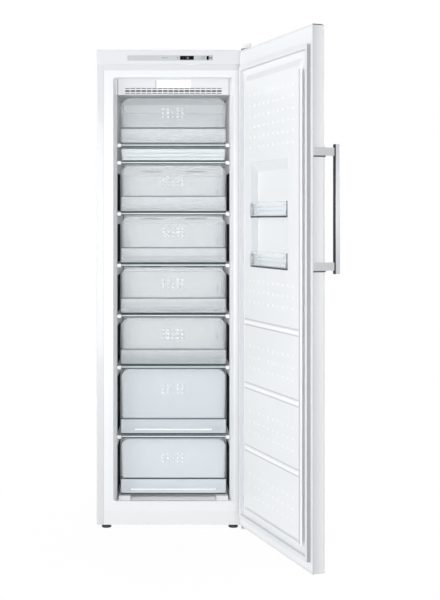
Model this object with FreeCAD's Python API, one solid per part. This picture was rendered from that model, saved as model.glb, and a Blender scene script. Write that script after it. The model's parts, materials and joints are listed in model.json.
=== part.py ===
import FreeCAD, Part
import math
import os

from FreeCAD import Vector

# Upright freezer, millimetres.  +X is to the right, +Y to the back, +Z up.  The origin is on the
# floor, under the middle of the cabinet's front plane.  The door is stored open, as it is used to
# reach the drawers; it is built closed and then turned about its hinge line.

# ---------------------------------------------------------------- cabinet
CABINET_WIDTH = 595.0
CABINET_DEPTH = 530.0
CABINET_TOP = 1850.0
CABINET_BOTTOM = 14.0
CASING_WALL = 1.0
CASING_CORNER = 4.0
FRONT_FLANGE_WALL = 1.5
FRONT_FLANGE_WIDTH = 28.5
LINER_WALL = 1.5
REAR_PANEL_WALL = 1.0
BASE_WALL = 1.5
BASE_FRONT_TOP = 67.0
LINER_FLANGE_TOP = 1772.0
FASCIA_BOTTOM = 1795.0

# ---------------------------------------------------------------- freezer compartment
MOUTH_WIDTH = 466.0
MOUTH_BOTTOM = 105.0
MOUTH_TOP = 1744.5
CEILING = 1760.0
MOUTH_LIP_DEPTH = 12.0
MOUTH_CORNER = 12.0
CAVITY_WIDTH = 439.0
CAVITY_REAR_WIDTH = 422.0
FLARE_DEPTH = 34.0
CAVITY_DEPTH = 465.0
LOW_CAVITY_DEPTH = 302.0
STEP_TOP = 322.0
RECESS_DEPTH = 200.0
RECESS_TOP = 270.0

# ---------------------------------------------------------------- shelves, from the top down
SHELF_TOPS = (1490.0, 1422.0, 1223.0, 1022.0, 825.0, 625.0, 354.5)
GLASS_THICKNESS = 4.0
SHELF_FRONT = 33.0
SHELF_REAR = 366.0
SHELF_SIDE_GAP = 2.5
TRIM_HEIGHT = 11.5
TRIM_INSET = 5.3
TRIM_WALL = 2.5
TRIM_LIP = 12.0
LEDGE_HEIGHT = 6.0
STOP_WIDTH = 13.5
STOP_DEPTH = 9.0
STOP_GAP = 0.8
STOP_HEIGHT = 13.0
RUN_GAP = 0.3

# ---------------------------------------------------------------- drawers
DRAWER_WALL = 2.5
DRAWER_FRONT = 38.0
DRAWER_REAR = 350.0
LOW_DRAWER_REAR = 288.0
DRAWER_SIDE_GAP = 4.0
DRAWER_SIDE_DRAFT = 6.0
DRAWER_REAR_DRAFT = 6.0
DRAWER_CORNER = 20.0
DRAWER_HEADROOM = 6.0
DRAWER_REAR_DROP = 27.0
LIP_INSET = 0.5
LIP_HEIGHT = 60.0
LIP_STEP = 10.0
LIP_EDGE = 5.0
LIP_CORNER = 12.0
TRAY_HEIGHT = 50.0
TOP_DRAWER_TOP = 1670.0
RAIL_HEIGHT = 16.0
RAIL_WIDTH = 45.0
RAIL_SIDE_GAP = 2.5
RAIL_FRONT = 18.0

# ---------------------------------------------------------------- fan cover, lamp and rear duct
COVER_FRONT = 22.0
COVER_BOTTOM = 1680.0
COVER_WALL = 2.5
COVER_SIDE_GAP = 1.0
COVER_TAB_WIDTH = 380.0
LAMP_LEFT = -71.0
LAMP_WIDTH = 138.0
LAMP_BOTTOM = 1709.0
LAMP_HEIGHT = 26.0
LAMP_DEPTH = 9.0
SLOT_COUNT = 18
SLOT_PITCH = 21.0
SLOT_LENGTH = 17.5
SLOT_HEIGHT = 3.6
SLOT_LEVELS = (1704.5, 1694.5, 1685.5)
DUCT_FRONT = 372.0
DUCT_WALL = 2.5
DUCT_SLOT_LENGTH = 88.0
DUCT_SLOT_HEIGHT = 9.0
DUCT_SLOT_X = 94.0
DUCT_SLOT_DROP = 24.0
DUCT_COVER_WIDTH = 210.0
DUCT_COVER_BOTTOM = 1570.0
DUCT_COVER_TOP = 1642.0
DUCT_COVER_PROUD = 1.5
FAN_Z = 1721.0
FAN_HOLE_RADIUS = 35.0
ROTOR_RADIUS = 32.0
ROTOR_HUB_RADIUS = 13.0
ROTOR_DEPTH = 12.0
MOTOR_RADIUS = 15.0
MOTOR_DEPTH = 24.0
SHAFT_RADIUS = 2.0
SHAFT_CLEARANCE = 0.05
BLADE_COUNT = 5
BLADE_WALL = 1.6
BLADE_HEIGHT = 18.0
BLADE_TWIST = 28.0
BLADE_ROOT = 2.0
FAN_RING_WALL = 4.0
FAN_ARM_WIDTH = 6.0
FAN_ARM_DEPTH = 4.0

# ---------------------------------------------------------------- evaporator
EVAPORATOR_WIDTH = 360.0
EVAPORATOR_BOTTOM = 760.0
EVAPORATOR_TOP = 1560.0
EVAPORATOR_DEPTH = 60.0
FIN_COUNT = 16
FIN_THICKNESS = 1.2
EVAPORATOR_TUBE_RADIUS = 5.0
EVAPORATOR_TUBE_COUNT = 8

# ---------------------------------------------------------------- control panel
FASCIA_PROUD = 5.0
FASCIA_EDGE = 1.5
FASCIA_SHOULDER = 2.0
STRIP_LEFT = -178.0
STRIP_RIGHT = 153.0
STRIP_BOTTOM = 1809.0
STRIP_TOP = 1829.0
STRIP_GAP = 0.2
STRIP_WALL = 2.0
WINDOW_BOTTOM = 1811.5
WINDOW_TOP = 1827.0
WINDOWS = ((25.5, 79.0), (128.0, 150.0))
BUTTON_CENTRES = (94.0, 115.0)
BUTTON_WIDTH = 16.0
BUTTON_HEIGHT = 12.0
BUTTON_GAP = 0.3
BUTTON_PROUD = 0.8
BUTTON_TRAVEL = 0.8
SWITCH_RADIUS = 3.0
SWITCH_DEPTH = 4.0
BOARD_FRONT = 10.0
BOARD_WALL = 1.6
POCKET_MARGIN = 4.0

# ---------------------------------------------------------------- door (built closed)
DOOR_BOTTOM = 19.0
DOOR_TOP = 1842.0
DOOR_THICKNESS = 51.0
DOOR_GAP = 14.0
DOOR_SKIN = 1.0
DOOR_EDGE_RADIUS = 14.0
CAP_HEIGHT = 8.0
OPEN_ANGLE = 110.0
HINGE_INSET = 18.0
HINGE_FORWARD = 32.0
GASKET_OUTER = 20.0
GASKET_FREE_EDGE = 14.0
GASKET_BOTTOM = 55.0
GASKET_TOP = 1777.0
GASKET_WIDTH = 15.0
GASKET_CLEARANCE = 0.4
PLUG_HEIGHT = 12.0
PLUG_EDGE = 75.0
PLUG_SLOPE = 5.0
PLUG_BOTTOM = 114.0
PLUG_TOP = 1713.0
PLUG_TOP_SLOPE = 25.0
RIB_LEVELS = (810.0, 571.5, 336.5)
RIB_HEIGHT = 18.0
RIB_PROUD = 2.5
RIB_BEVEL = 3.0
NICHE_LEFT = 130.0
NICHE_RIGHT = 435.0
NICHE_BOTTOM = 1018.0
NICHE_TOP = 1408.0
NICHE_DEPTH = 25.0
NICHE_SIDE_SLOPE = 12.0
NICHE_TOP_SLOPE = 37.0
UPPER_BIN_BOTTOM = 1201.0
BIN_HEIGHT = 58.0
BIN_FRONT_HEIGHT = 40.0
BIN_PROUD = 6.0
BIN_WALL = 2.5
BIN_GAP = 0.5
BIN_SEAT_REACH = 6.0
BIN_SEAT_HEIGHT = 4.0

# ---------------------------------------------------------------- handle
HANDLE_BOTTOM = 1011.5
HANDLE_TOP = 1445.0
HANDLE_STANDOFF = 29.0
HANDLE_DEPTH = 21.0
HANDLE_WIDTH = 18.0
HANDLE_ROUND = 6.0
HANDLE_END_ROUND = 1.5
HANDLE_CENTRE = 2.0
BRACKET_HEIGHT = 27.0
BRACKET_INSET = 12.0
BRACKET_WALL = 3.0
BRACKET_START = 4.0
BRACKET_BLOCK = 10.0
BRACKET_SCREW_INSET = 10.0
SCREW_HEAD_RADIUS = 3.5
SCREW_HEAD_HEIGHT = 0.8
SCREW_SHANK_RADIUS = 1.9
SCREW_HOLE_RADIUS = 2.0

# ---------------------------------------------------------------- hinges
PIN_RADIUS = 4.0
PIN_CLEARANCE = 0.05
PIN_LENGTH = 14.0
BUSH_RADIUS = 7.0
BUSH_DEPTH = 18.0
HINGE_PLATE = 3.0
HINGE_PLATE_WIDTH = 35.0
HINGE_PLATE_REACH = 14.0
HINGE_PLATE_BACK = 60.0
HINGE_COVER_TOP = 1867.0
HINGE_COVER_WALL = 2.0
HINGE_COVER_GAP = 1.0
HINGE_COVER_CORNER = 4.0
HINGE_WASHER_RADIUS = 8.0
HINGE_SCREW_PITCH = 18.0
HINGE_SCREW_OFFSET = 3.0
HINGE_SCREW_START = 14.0
HINGE_SCREW_LENGTH = 9.0

# ---------------------------------------------------------------- feet and rollers
FOOT_X = (-260.0, 232.7)
FOOT_Y = 24.0
FOOT_RADIUS = 18.5
FOOT_DISC_HEIGHT = 3.0
FOOT_DOME_HEIGHT = 13.6
FOOT_NECK_RADIUS = 8.0
STUD_RADIUS = 5.0
STUD_CLEARANCE = 0.05
STUD_LENGTH = 22.0
NUT_RADIUS = 9.0
NUT_HEIGHT = 12.0
ROLLER_X = (-255.0, 255.0)
ROLLER_Y = 492.0
ROLLER_RADIUS = 12.0
ROLLER_WIDTH = 16.0
AXLE_RADIUS = 3.0
CHEEK_WALL = 2.5
CHEEK_HEIGHT = 24.0
CHEEK_LENGTH = 30.0

# ---------------------------------------------------------------- machinery at the back
COMPRESSOR_X = -70.0
COMPRESSOR_Y = 430.0
COMPRESSOR_RADIUS = 68.0
COMPRESSOR_BODY = 96.0
COMPRESSOR_DOME = 38.0
COMPRESSOR_PLATE = 3.0
RELAY_LENGTH = 50.0
RELAY_HEIGHT = 44.0
RELAY_PROUD = 16.0
RELAY_LIFT = 20.0
PIPE_RADIUS = 3.0
PIPE_BEND = 15.0
PIPE_LIFT = 70.0
SUCTION_OFFSET = 30.0
SUCTION_RUN = 22.0
MOUNT_RADIUS = 10.0
MOUNT_HEIGHT = 12.0
MOUNT_OFFSET = 62.0
DRIP_TRAY_SIZE = 110.0
DRIP_TRAY_HEIGHT = 28.0
DRIP_TRAY_WALL = 2.0
CONDENSER_WIDTH = 440.0
CONDENSER_BOTTOM = 420.0
CONDENSER_RUNS = 16
CONDENSER_PITCH = 74.0
CONDENSER_TUBE_RADIUS = 2.5
CONDENSER_STANDOFF = 14.0
WIRE_RADIUS = 0.8
WIRE_COUNT = 22
SPACER_WIDTH = 18.0
SPACER_HEIGHT = 12.0
SPACER_WALL = 3.0
GLAND_X = 190.0
GLAND_Z = 60.0
GLAND_RADIUS = 7.0
GLAND_LENGTH = 24.0
GLAND_TIP = 0.7
GLAND_BOX_WIDTH = 42.0
GLAND_BOX_DEPTH = 26.0

# ---------------------------------------------------------------- worked out from the above
HALF_WIDTH = CABINET_WIDTH / 2
INNER_HALF = HALF_WIDTH - CASING_WALL
FLANGE_EDGE = HALF_WIDTH - FRONT_FLANGE_WIDTH
REAR_INNER = CABINET_DEPTH - REAR_PANEL_WALL
BASE_TOP = CABINET_BOTTOM + BASE_WALL
RECESS_FRONT = CABINET_DEPTH - RECESS_DEPTH
SHELF_SOLID = GLASS_THICKNESS + LEDGE_HEIGHT
CAVITY_NARROWEST = min(CAVITY_WIDTH, CAVITY_REAR_WIDTH)
SHELF_WIDTH = CAVITY_NARROWEST - 2 * SHELF_SIDE_GAP
TRIM_WIDTH = SHELF_WIDTH - 2 * TRIM_INSET
DRAWER_TOP_WIDTH = CAVITY_NARROWEST - 2 * DRAWER_SIDE_GAP
DRAWER_BOTTOM_WIDTH = DRAWER_TOP_WIDTH - 2 * DRAWER_SIDE_DRAFT
LIP_WIDTH = DRAWER_TOP_WIDTH - 2 * LIP_INSET
CAVITY_DRAFT = (CAVITY_WIDTH - CAVITY_REAR_WIDTH) / 2 / (CAVITY_DEPTH - FLARE_DEPTH)
RAIL_REAR_HALF = CAVITY_WIDTH / 2 - CAVITY_DRAFT * (LOW_DRAWER_REAR - FLARE_DEPTH)
RAIL_OUTER = 2 * (RAIL_REAR_HALF - RAIL_SIDE_GAP)
DOOR_FACE = DOOR_GAP + DOOR_THICKNESS
HINGE_X = HALF_WIDTH - HINGE_INSET
HINGE_Y = -HINGE_FORWARD
PLUG_FACE = DOOR_GAP - PLUG_HEIGHT

os.makedirs("parts", exist_ok=True)


# ---------------------------------------------------------------- helpers
def box(x, y, z):
    """An upright block between a low and a high value on each axis."""
    return Part.makeBox(x[1] - x[0], y[1] - y[0], z[1] - z[0], Vector(x[0], y[0], z[0]))


def around(centre, size):
    """The low and high value of a span of this size about a centre."""
    return (centre - size / 2, centre + size / 2)


def rod(radius, start, end):
    """A round bar from one point to another."""
    line = Vector(*end) - Vector(*start)
    return Part.makeCylinder(radius, line.Length, Vector(*start), line)


def outline(points):
    """A closed face through the points, in order."""
    corners = [Vector(*p) for p in points]
    return Part.Face(Part.makePolygon(corners + corners[:1]))


def loft(sections):
    """A straight-sided solid through closed loops with as many corners each."""
    wires = []
    for points in sections:
        corners = [Vector(*p) for p in points]
        wires.append(Part.makePolygon(corners + corners[:1]))
    return Part.makeLoft(wires, True, True)


def upright_loop(x, z, y):
    """The four corners of a rectangle that stands square to Y."""
    return [(x[0], y, z[0]), (x[1], y, z[0]), (x[1], y, z[1]), (x[0], y, z[1])]


def level_loop(x_front, x_rear, y, z):
    """The four corners of a level rectangle or trapezium."""
    return [
        (-x_front, y[0], z),
        (x_front, y[0], z),
        (x_rear, y[1], z),
        (-x_rear, y[1], z),
    ]


def union(shapes):
    """One solid from shapes that overlap or share faces."""
    whole = shapes[0]
    for shape in shapes[1:]:
        whole = whole.fuse(shape)
    return whole.removeSplitter()


def minus(shape, tools):
    """The shape with the tools cut away."""
    for tool in tools:
        shape = shape.cut(tool)
    return shape


def rounded(shape, radius, wanted):
    """The shape with the edges that pass the test rounded."""
    return shape.makeFillet(radius, [e for e in shape.Edges if wanted(e)])


def is_upright(edge):
    """True for an edge that runs mostly along Z."""
    ends = edge.Vertexes
    if len(ends) < 2:
        return False
    line = ends[1].Point - ends[0].Point
    return abs(line.z) > 0.9 * line.Length


def swing(shape):
    """The shape turned with the door from closed to its open rest position."""
    turned = shape.copy()
    turned.rotate(Vector(HINGE_X, HINGE_Y, 0), Vector(0, 0, 1), OPEN_ANGLE)
    return turned


def save(name, shape):
    shape.exportStep(os.path.join("parts", name + ".step"))


# A door point is given by u, across from the hinge side, and n, out from the cabinet's front plane.
def door_box(u, n, z):
    """A block in the closed door's own measures."""
    return box((HALF_WIDTH - u[1], HALF_WIDTH - u[0]), (-n[1], -n[0]), z)


def door_loop(u, n, z):
    """A rectangle in the closed door's own measures, square to n."""
    return upright_loop((HALF_WIDTH - u[1], HALF_WIDTH - u[0]), z, -n)


# ---------------------------------------------------------------- cabinet shell
def body_block(inset, y, z):
    """A block of the cabinet's plan, inset from its sides, with its front upright edges rounded."""
    block = box((-HALF_WIDTH + inset, HALF_WIDTH - inset), y, z)
    front = min(y)
    edges = [e for e in block.Edges if is_upright(e) and abs(e.Vertexes[0].Point.y - front) < 0.01]
    return block.makeFillet(CASING_CORNER - inset, edges)


def section(half, z, y, radius):
    """An upright rectangle's wire, square to Y, with its corners rounded by arcs."""
    corners = [Vector(-half, y, z[0]), Vector(half, y, z[0]), Vector(half, y, z[1]), Vector(-half, y, z[1])]
    ways = [Vector(1, 0, 0), Vector(0, 0, 1), Vector(-1, 0, 0), Vector(0, 0, -1)]
    edges = []
    for index, corner in enumerate(corners):
        ahead = ways[index]
        behind = ways[index - 1]
        onward = corners[(index + 1) % 4]
        middle = corner + (ahead - behind) * radius * (1 - math.sqrt(0.5))
        edges.append(Part.Arc(corner - behind * radius, middle, corner + ahead * radius).toShape())
        edges.append(Part.LineSegment(corner + ahead * radius, onward - ahead * radius).toShape())
    return Part.Wire(edges)


def compartment(grow):
    """The space of the freezer compartment, grown outwards by a wall."""
    mouth = MOUTH_WIDTH / 2 + grow
    front = CAVITY_WIDTH / 2 + grow
    rear = CAVITY_REAR_WIDTH / 2 + grow
    lip_depth = MOUTH_LIP_DEPTH - grow
    lip = mouth + (front - mouth) * lip_depth / FLARE_DEPTH
    low_rear = front - CAVITY_DRAFT * (LOW_CAVITY_DEPTH + grow - FLARE_DEPTH)
    low = MOUTH_BOTTOM - grow
    step = STEP_TOP - grow
    high = CEILING + grow
    opening = (low, MOUTH_TOP + grow)
    corner = MOUTH_CORNER + grow
    mouth_part = Part.makeLoft([section(mouth, opening, 0, corner), section(lip, opening, lip_depth, corner)],
                               True, True)
    flare = loft([
        upright_loop((-lip, lip), (low, high), lip_depth),
        upright_loop((-front, front), (low, high), FLARE_DEPTH),
    ])
    upper = loft([
        upright_loop((-front, front), (step, high), FLARE_DEPTH),
        upright_loop((-rear, rear), (step, high), CAVITY_DEPTH + grow),
    ])
    lower = loft([
        upright_loop((-front, front), (low, step), FLARE_DEPTH),
        upright_loop((-low_rear, low_rear), (low, step), LOW_CAVITY_DEPTH + grow),
    ])
    return union([mouth_part, flare, upper, lower])


def control_pocket():
    """The space behind the fascia that holds the control board."""
    return box(
        (STRIP_LEFT - POCKET_MARGIN, STRIP_RIGHT + POCKET_MARGIN),
        (0, BOARD_FRONT + BOARD_WALL),
        (STRIP_BOTTOM - POCKET_MARGIN, STRIP_TOP + POCKET_MARGIN),
    )


def build_casing():
    """Sides, top and front flange in one sheet, open behind, below and round the compartment."""
    outer = body_block(0, (0, CABINET_DEPTH), (CABINET_BOTTOM, CABINET_TOP))
    inner = body_block(CASING_WALL, (FRONT_FLANGE_WALL, CABINET_DEPTH + 1),
                       (CABINET_BOTTOM - 1, CABINET_TOP - CASING_WALL))
    front = box((-FLANGE_EDGE, FLANGE_EDGE), (-1, FRONT_FLANGE_WALL + 1),
                (CABINET_BOTTOM - 1, LINER_FLANGE_TOP))
    casing = minus(outer, [inner, front, control_pocket()])
    screws = [screw_hole(x, y) for x, y in hinge_screw_places()]
    save("outer_casing", minus(casing, screws))


def build_liner():
    flange = box((-FLANGE_EDGE, FLANGE_EDGE), (0, LINER_WALL), (BASE_FRONT_TOP, LINER_FLANGE_TOP))
    space = compartment(0)
    shell = union([compartment(LINER_WALL), flange]).cut(space)
    ledges = []
    for top in SHELF_TOPS:
        under = top - GLASS_THICKNESS
        for side in (-1, 1):
            inner = side * (TRIM_WIDTH / 2 + STOP_GAP)
            outer = side * INNER_HALF
            across = (min(inner, outer), max(inner, outer))
            ledge = box(across, (SHELF_FRONT, SHELF_REAR), (under - LEDGE_HEIGHT, under))
            stop_x = inner + side * STOP_WIDTH / 2
            stop_y = (SHELF_FRONT - STOP_DEPTH, SHELF_FRONT)
            stop = box(around(stop_x, STOP_WIDTH), stop_y, (top - STOP_HEIGHT, top))
            ledges += [ledge.common(space), stop.common(space)]
    save("inner_liner", union([shell] + ledges))


def build_foam():
    block = body_block(CASING_WALL, (FRONT_FLANGE_WALL, REAR_INNER),
                       (BASE_TOP, CABINET_TOP - CASING_WALL))
    recess = box((-INNER_HALF - 1, INNER_HALF + 1), (RECESS_FRONT - REAR_PANEL_WALL, REAR_INNER + 1),
                 (BASE_TOP - 1, RECESS_TOP + REAR_PANEL_WALL))
    nuts = [box(around(x, 2 * NUT_RADIUS), around(FOOT_Y, 2 * NUT_RADIUS),
                (BASE_TOP, BASE_TOP + STUD_LENGTH)) for x in FOOT_X]
    screws = [screw_hole(x, y) for x, y in hinge_screw_places()]
    foam = minus(block, [compartment(LINER_WALL), recess, control_pocket()] + nuts + screws)
    save("insulation_foam", foam)


def build_rear_panel():
    """The back sheet, bent forward over the machine recess and down to the base."""
    rear = (REAR_INNER, CABINET_DEPTH)
    high = (RECESS_TOP, CABINET_TOP - CASING_WALL)
    back = box((-INNER_HALF, INNER_HALF), rear, high)
    roof = box((-INNER_HALF, INNER_HALF), (RECESS_FRONT - REAR_PANEL_WALL, REAR_INNER),
               (RECESS_TOP, RECESS_TOP + REAR_PANEL_WALL))
    front = box((-INNER_HALF, INNER_HALF), (RECESS_FRONT - REAR_PANEL_WALL, RECESS_FRONT),
                (BASE_TOP, RECESS_TOP))
    spacers = []
    for z in condenser_levels()[1::6]:
        for side in (-1, 1):
            x = side * (CONDENSER_WIDTH / 2 + SPACER_WIDTH / 2)
            arm = box(around(x, SPACER_WIDTH),
                      (CABINET_DEPTH, CABINET_DEPTH + CONDENSER_STANDOFF + SPACER_WALL),
                      around(z, SPACER_HEIGHT))
            spacers.append(arm.cut(rod(CONDENSER_TUBE_RADIUS,
                                       (x - SPACER_WIDTH, condenser_y(), z),
                                       (x + SPACER_WIDTH, condenser_y(), z))))
    save("rear_panel", union([back, roof, front] + spacers))


def build_base_pan():
    """Bottom plate with its front wall, the feet's nuts and the rollers' cheeks and axles."""
    plate = body_block(CASING_WALL, (FRONT_FLANGE_WALL, CABINET_DEPTH), (CABINET_BOTTOM, BASE_TOP))
    wall = box((-FLANGE_EDGE, FLANGE_EDGE), (0, FRONT_FLANGE_WALL), (CABINET_BOTTOM, BASE_FRONT_TOP))
    solids = [plate, wall]
    cuts = []
    for x in FOOT_X:
        solids.append(rod(NUT_RADIUS, (x, FOOT_Y, BASE_TOP), (x, FOOT_Y, BASE_TOP + NUT_HEIGHT)))
        cuts.append(rod(STUD_RADIUS + STUD_CLEARANCE, (x, FOOT_Y, 0),
                        (x, FOOT_Y, BASE_TOP + NUT_HEIGHT + 1)))
    slot = ROLLER_WIDTH + 2 * RUN_GAP
    for x in ROLLER_X:
        cheeks_x = around(x, slot + 2 * CHEEK_WALL)
        cheeks = box(cheeks_x, around(ROLLER_Y, CHEEK_LENGTH),
                     (ROLLER_RADIUS - AXLE_RADIUS - CHEEK_WALL, BASE_TOP + CHEEK_HEIGHT))
        gap = box(around(x, slot), around(ROLLER_Y, CHEEK_LENGTH + 1), (0, BASE_TOP + CHEEK_HEIGHT + 1))
        opening = box(cheeks_x, around(ROLLER_Y, CHEEK_LENGTH), (CABINET_BOTTOM - 1, BASE_TOP + 1))
        solids[0] = solids[0].cut(opening)
        solids.append(cheeks.cut(gap))
        solids.append(rod(AXLE_RADIUS, (cheeks_x[0], ROLLER_Y, ROLLER_RADIUS),
                          (cheeks_x[1], ROLLER_Y, ROLLER_RADIUS)))
    save("base_pan", minus(union(solids), cuts))


# ---------------------------------------------------------------- shelves and rails
def build_shelves():
    for number, top in enumerate(SHELF_TOPS, 1):
        glass = box(around(0, SHELF_WIDTH), (SHELF_FRONT, SHELF_REAR), (top - GLASS_THICKNESS, top))
        save(f"glass_shelf_{number}", glass)


def build_trims():
    """One strip along each shelf's front edge, with a lip under the glass."""
    strips = []
    for top in SHELF_TOPS:
        across = around(0, TRIM_WIDTH)
        front = box(across, (SHELF_FRONT - TRIM_WALL, SHELF_FRONT), (top - TRIM_HEIGHT, top))
        under = top - GLASS_THICKNESS
        lip = box(across, (SHELF_FRONT, SHELF_FRONT + TRIM_LIP), (under - TRIM_WALL, under))
        strips.append(front.fuse(lip))
    save("shelf_trims", Part.makeCompound(strips))


def build_rails():
    rails = []
    for side in (-1, 1):
        centre = side * (RAIL_OUTER / 2 - RAIL_WIDTH / 2)
        rails.append(box(around(centre, RAIL_WIDTH), (RAIL_FRONT, LOW_DRAWER_REAR),
                         (MOUTH_BOTTOM, MOUTH_BOTTOM + RAIL_HEIGHT)))
    save("floor_rails", Part.makeCompound(rails))


# ---------------------------------------------------------------- drawers
def tub(low, high, rear, shrink, corner):
    """A drafted tub's block: its walls lean out towards the top and in towards the rear."""
    wide = DRAWER_TOP_WIDTH / 2 - shrink
    narrow = DRAWER_BOTTOM_WIDTH / 2 - shrink
    depth = (DRAWER_FRONT + LIP_STEP + shrink, rear - shrink)
    block = loft([
        level_loop(narrow, narrow - DRAWER_REAR_DRAFT, depth, low),
        level_loop(wide, wide - DRAWER_REAR_DRAFT, depth, high),
    ])
    return rounded(block, corner, is_upright)


def build_drawer(name, low, top, rear):
    """A clear drawer: drafted tub, stepped front, and a rim that falls across its front corners."""
    outer = tub(low, top, rear, 0, DRAWER_CORNER)
    inner = tub(low + DRAWER_WALL, top + 1, rear, DRAWER_WALL, DRAWER_CORNER - DRAWER_WALL)
    lip_depth = (DRAWER_FRONT, DRAWER_FRONT + LIP_STEP + DRAWER_CORNER + LIP_CORNER)
    lip = box(around(0, LIP_WIDTH), lip_depth, (low, low + LIP_HEIGHT))
    lip = rounded(lip, LIP_CORNER, is_upright)
    hollow = box(around(0, LIP_WIDTH - 2 * DRAWER_WALL),
                 (lip_depth[0] + DRAWER_WALL, lip_depth[1] - DRAWER_WALL),
                 (low + DRAWER_WALL, low + LIP_HEIGHT - LIP_EDGE))
    hollow = rounded(hollow, LIP_CORNER - DRAWER_WALL, is_upright)
    shell = minus(outer.fuse(lip), [inner, hollow])
    side_top = top - DRAWER_REAR_DROP
    corner_back = DRAWER_FRONT + LIP_STEP + DRAWER_CORNER
    wide = DRAWER_TOP_WIDTH / 2
    cuts = [box((-wide - 1, wide + 1), (corner_back, rear + 1), (side_top, top + 1))]
    for side in (-1, 1):
        profile = [
            (side * (wide - DRAWER_CORNER), DRAWER_FRONT, top),
            (side * wide, DRAWER_FRONT, side_top),
            (side * (wide + 1), DRAWER_FRONT, side_top),
            (side * (wide + 1), DRAWER_FRONT, top + 1),
            (side * (wide - DRAWER_CORNER), DRAWER_FRONT, top + 1),
        ]
        cuts.append(outline(profile).extrude(Vector(0, corner_back - DRAWER_FRONT, 0)))
    save(name, minus(shell, cuts).removeSplitter())


def build_tray(name, low):
    """The shallow tray: one step only, with a rib across its front."""
    top = low + TRAY_HEIGHT
    depth = (DRAWER_FRONT, DRAWER_REAR)
    half = LIP_WIDTH / 2
    outer = loft([
        level_loop(half - DRAWER_REAR_DRAFT, half - 2 * DRAWER_REAR_DRAFT, depth, low),
        level_loop(half, half - DRAWER_REAR_DRAFT, depth, top),
    ])
    outer = rounded(outer, LIP_CORNER, is_upright)
    inside = (depth[0] + DRAWER_WALL, depth[1] - DRAWER_WALL)
    half -= DRAWER_WALL
    inner = loft([
        level_loop(half - DRAWER_REAR_DRAFT, half - 2 * DRAWER_REAR_DRAFT, inside, low + DRAWER_WALL),
        level_loop(half, half - DRAWER_REAR_DRAFT, inside, top + 1),
    ])
    inner = rounded(inner, LIP_CORNER - DRAWER_WALL, is_upright)
    save(name, outer.cut(inner))


def build_drawers():
    """Each drawer stands a running gap above its shelf and ends below the next one up."""
    tops = [TOP_DRAWER_TOP] + [z - SHELF_SOLID - DRAWER_HEADROOM for z in SHELF_TOPS]
    floors = [z + RUN_GAP for z in SHELF_TOPS] + [MOUTH_BOTTOM + RAIL_HEIGHT + RUN_GAP]
    for number, (low, top) in enumerate(zip(floors, tops), 1):
        if number == 2:
            build_tray("tray_2", low)
        else:
            rear = LOW_DRAWER_REAR if number == len(floors) else DRAWER_REAR
            build_drawer(f"drawer_{number}", low, top, rear)


# ---------------------------------------------------------------- fan cover, duct and cold side
def build_fan_cover():
    """A hood under the ceiling: front with lamp recess and air slots, and a level bottom."""
    space = compartment(-COVER_SIDE_GAP)
    front = box((-HALF_WIDTH, HALF_WIDTH), (COVER_FRONT, COVER_FRONT + COVER_WALL),
                (COVER_BOTTOM, CEILING)).common(space)
    bottom = box((-HALF_WIDTH, HALF_WIDTH), (COVER_FRONT, DUCT_FRONT),
                 (COVER_BOTTOM, COVER_BOTTOM + COVER_WALL)).common(space)
    tab = box(around(0, COVER_TAB_WIDTH), (COVER_FRONT, COVER_FRONT + COVER_WALL),
              (CEILING - COVER_WALL, CEILING))
    lamp_x = (LAMP_LEFT, LAMP_LEFT + LAMP_WIDTH)
    lamp_z = (LAMP_BOTTOM, LAMP_BOTTOM + LAMP_HEIGHT)
    pocket = box((lamp_x[0] - COVER_WALL, lamp_x[1] + COVER_WALL),
                 (COVER_FRONT, COVER_FRONT + LAMP_DEPTH + COVER_WALL),
                 (lamp_z[0] - COVER_WALL, lamp_z[1] + COVER_WALL))
    recess = box(lamp_x, (COVER_FRONT - 1, COVER_FRONT + LAMP_DEPTH), lamp_z)
    slots = []
    for level in SLOT_LEVELS:
        for index in range(SLOT_COUNT):
            x = (index - (SLOT_COUNT - 1) / 2) * SLOT_PITCH
            slots.append(box(around(x, SLOT_LENGTH), (COVER_FRONT - 1, COVER_FRONT + COVER_WALL + 0.5),
                             around(level, SLOT_HEIGHT)))
    hood = union([front, tab, bottom, pocket]).cut(recess)
    save("fan_cover", hood.cut(Part.makeCompound(slots)))
    lens = box(lamp_x, (COVER_FRONT + LAMP_DEPTH / 2, COVER_FRONT + LAMP_DEPTH), lamp_z)
    save("lamp_lens", lens)


def build_duct_panel():
    half = CAVITY_REAR_WIDTH / 2 - COVER_SIDE_GAP
    panel = box((-half, half), (DUCT_FRONT, DUCT_FRONT + DUCT_WALL), (STEP_TOP, CEILING))
    hole = rod(FAN_HOLE_RADIUS, (0, DUCT_FRONT - 1, FAN_Z), (0, DUCT_FRONT + DUCT_WALL + 1, FAN_Z))
    slots = []
    for top in SHELF_TOPS:
        for x in (-DUCT_SLOT_X, DUCT_SLOT_X):
            slots.append(box(around(x, DUCT_SLOT_LENGTH), (DUCT_FRONT - 1, DUCT_FRONT + DUCT_WALL + 1),
                             around(top - DUCT_SLOT_DROP, DUCT_SLOT_HEIGHT)))
    cover = box(around(0, DUCT_COVER_WIDTH), (DUCT_FRONT - DUCT_COVER_PROUD, DUCT_FRONT),
                (DUCT_COVER_BOTTOM, DUCT_COVER_TOP))
    save("rear_duct_panel", union([minus(panel, [hole, Part.makeCompound(slots)]), cover]))


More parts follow.
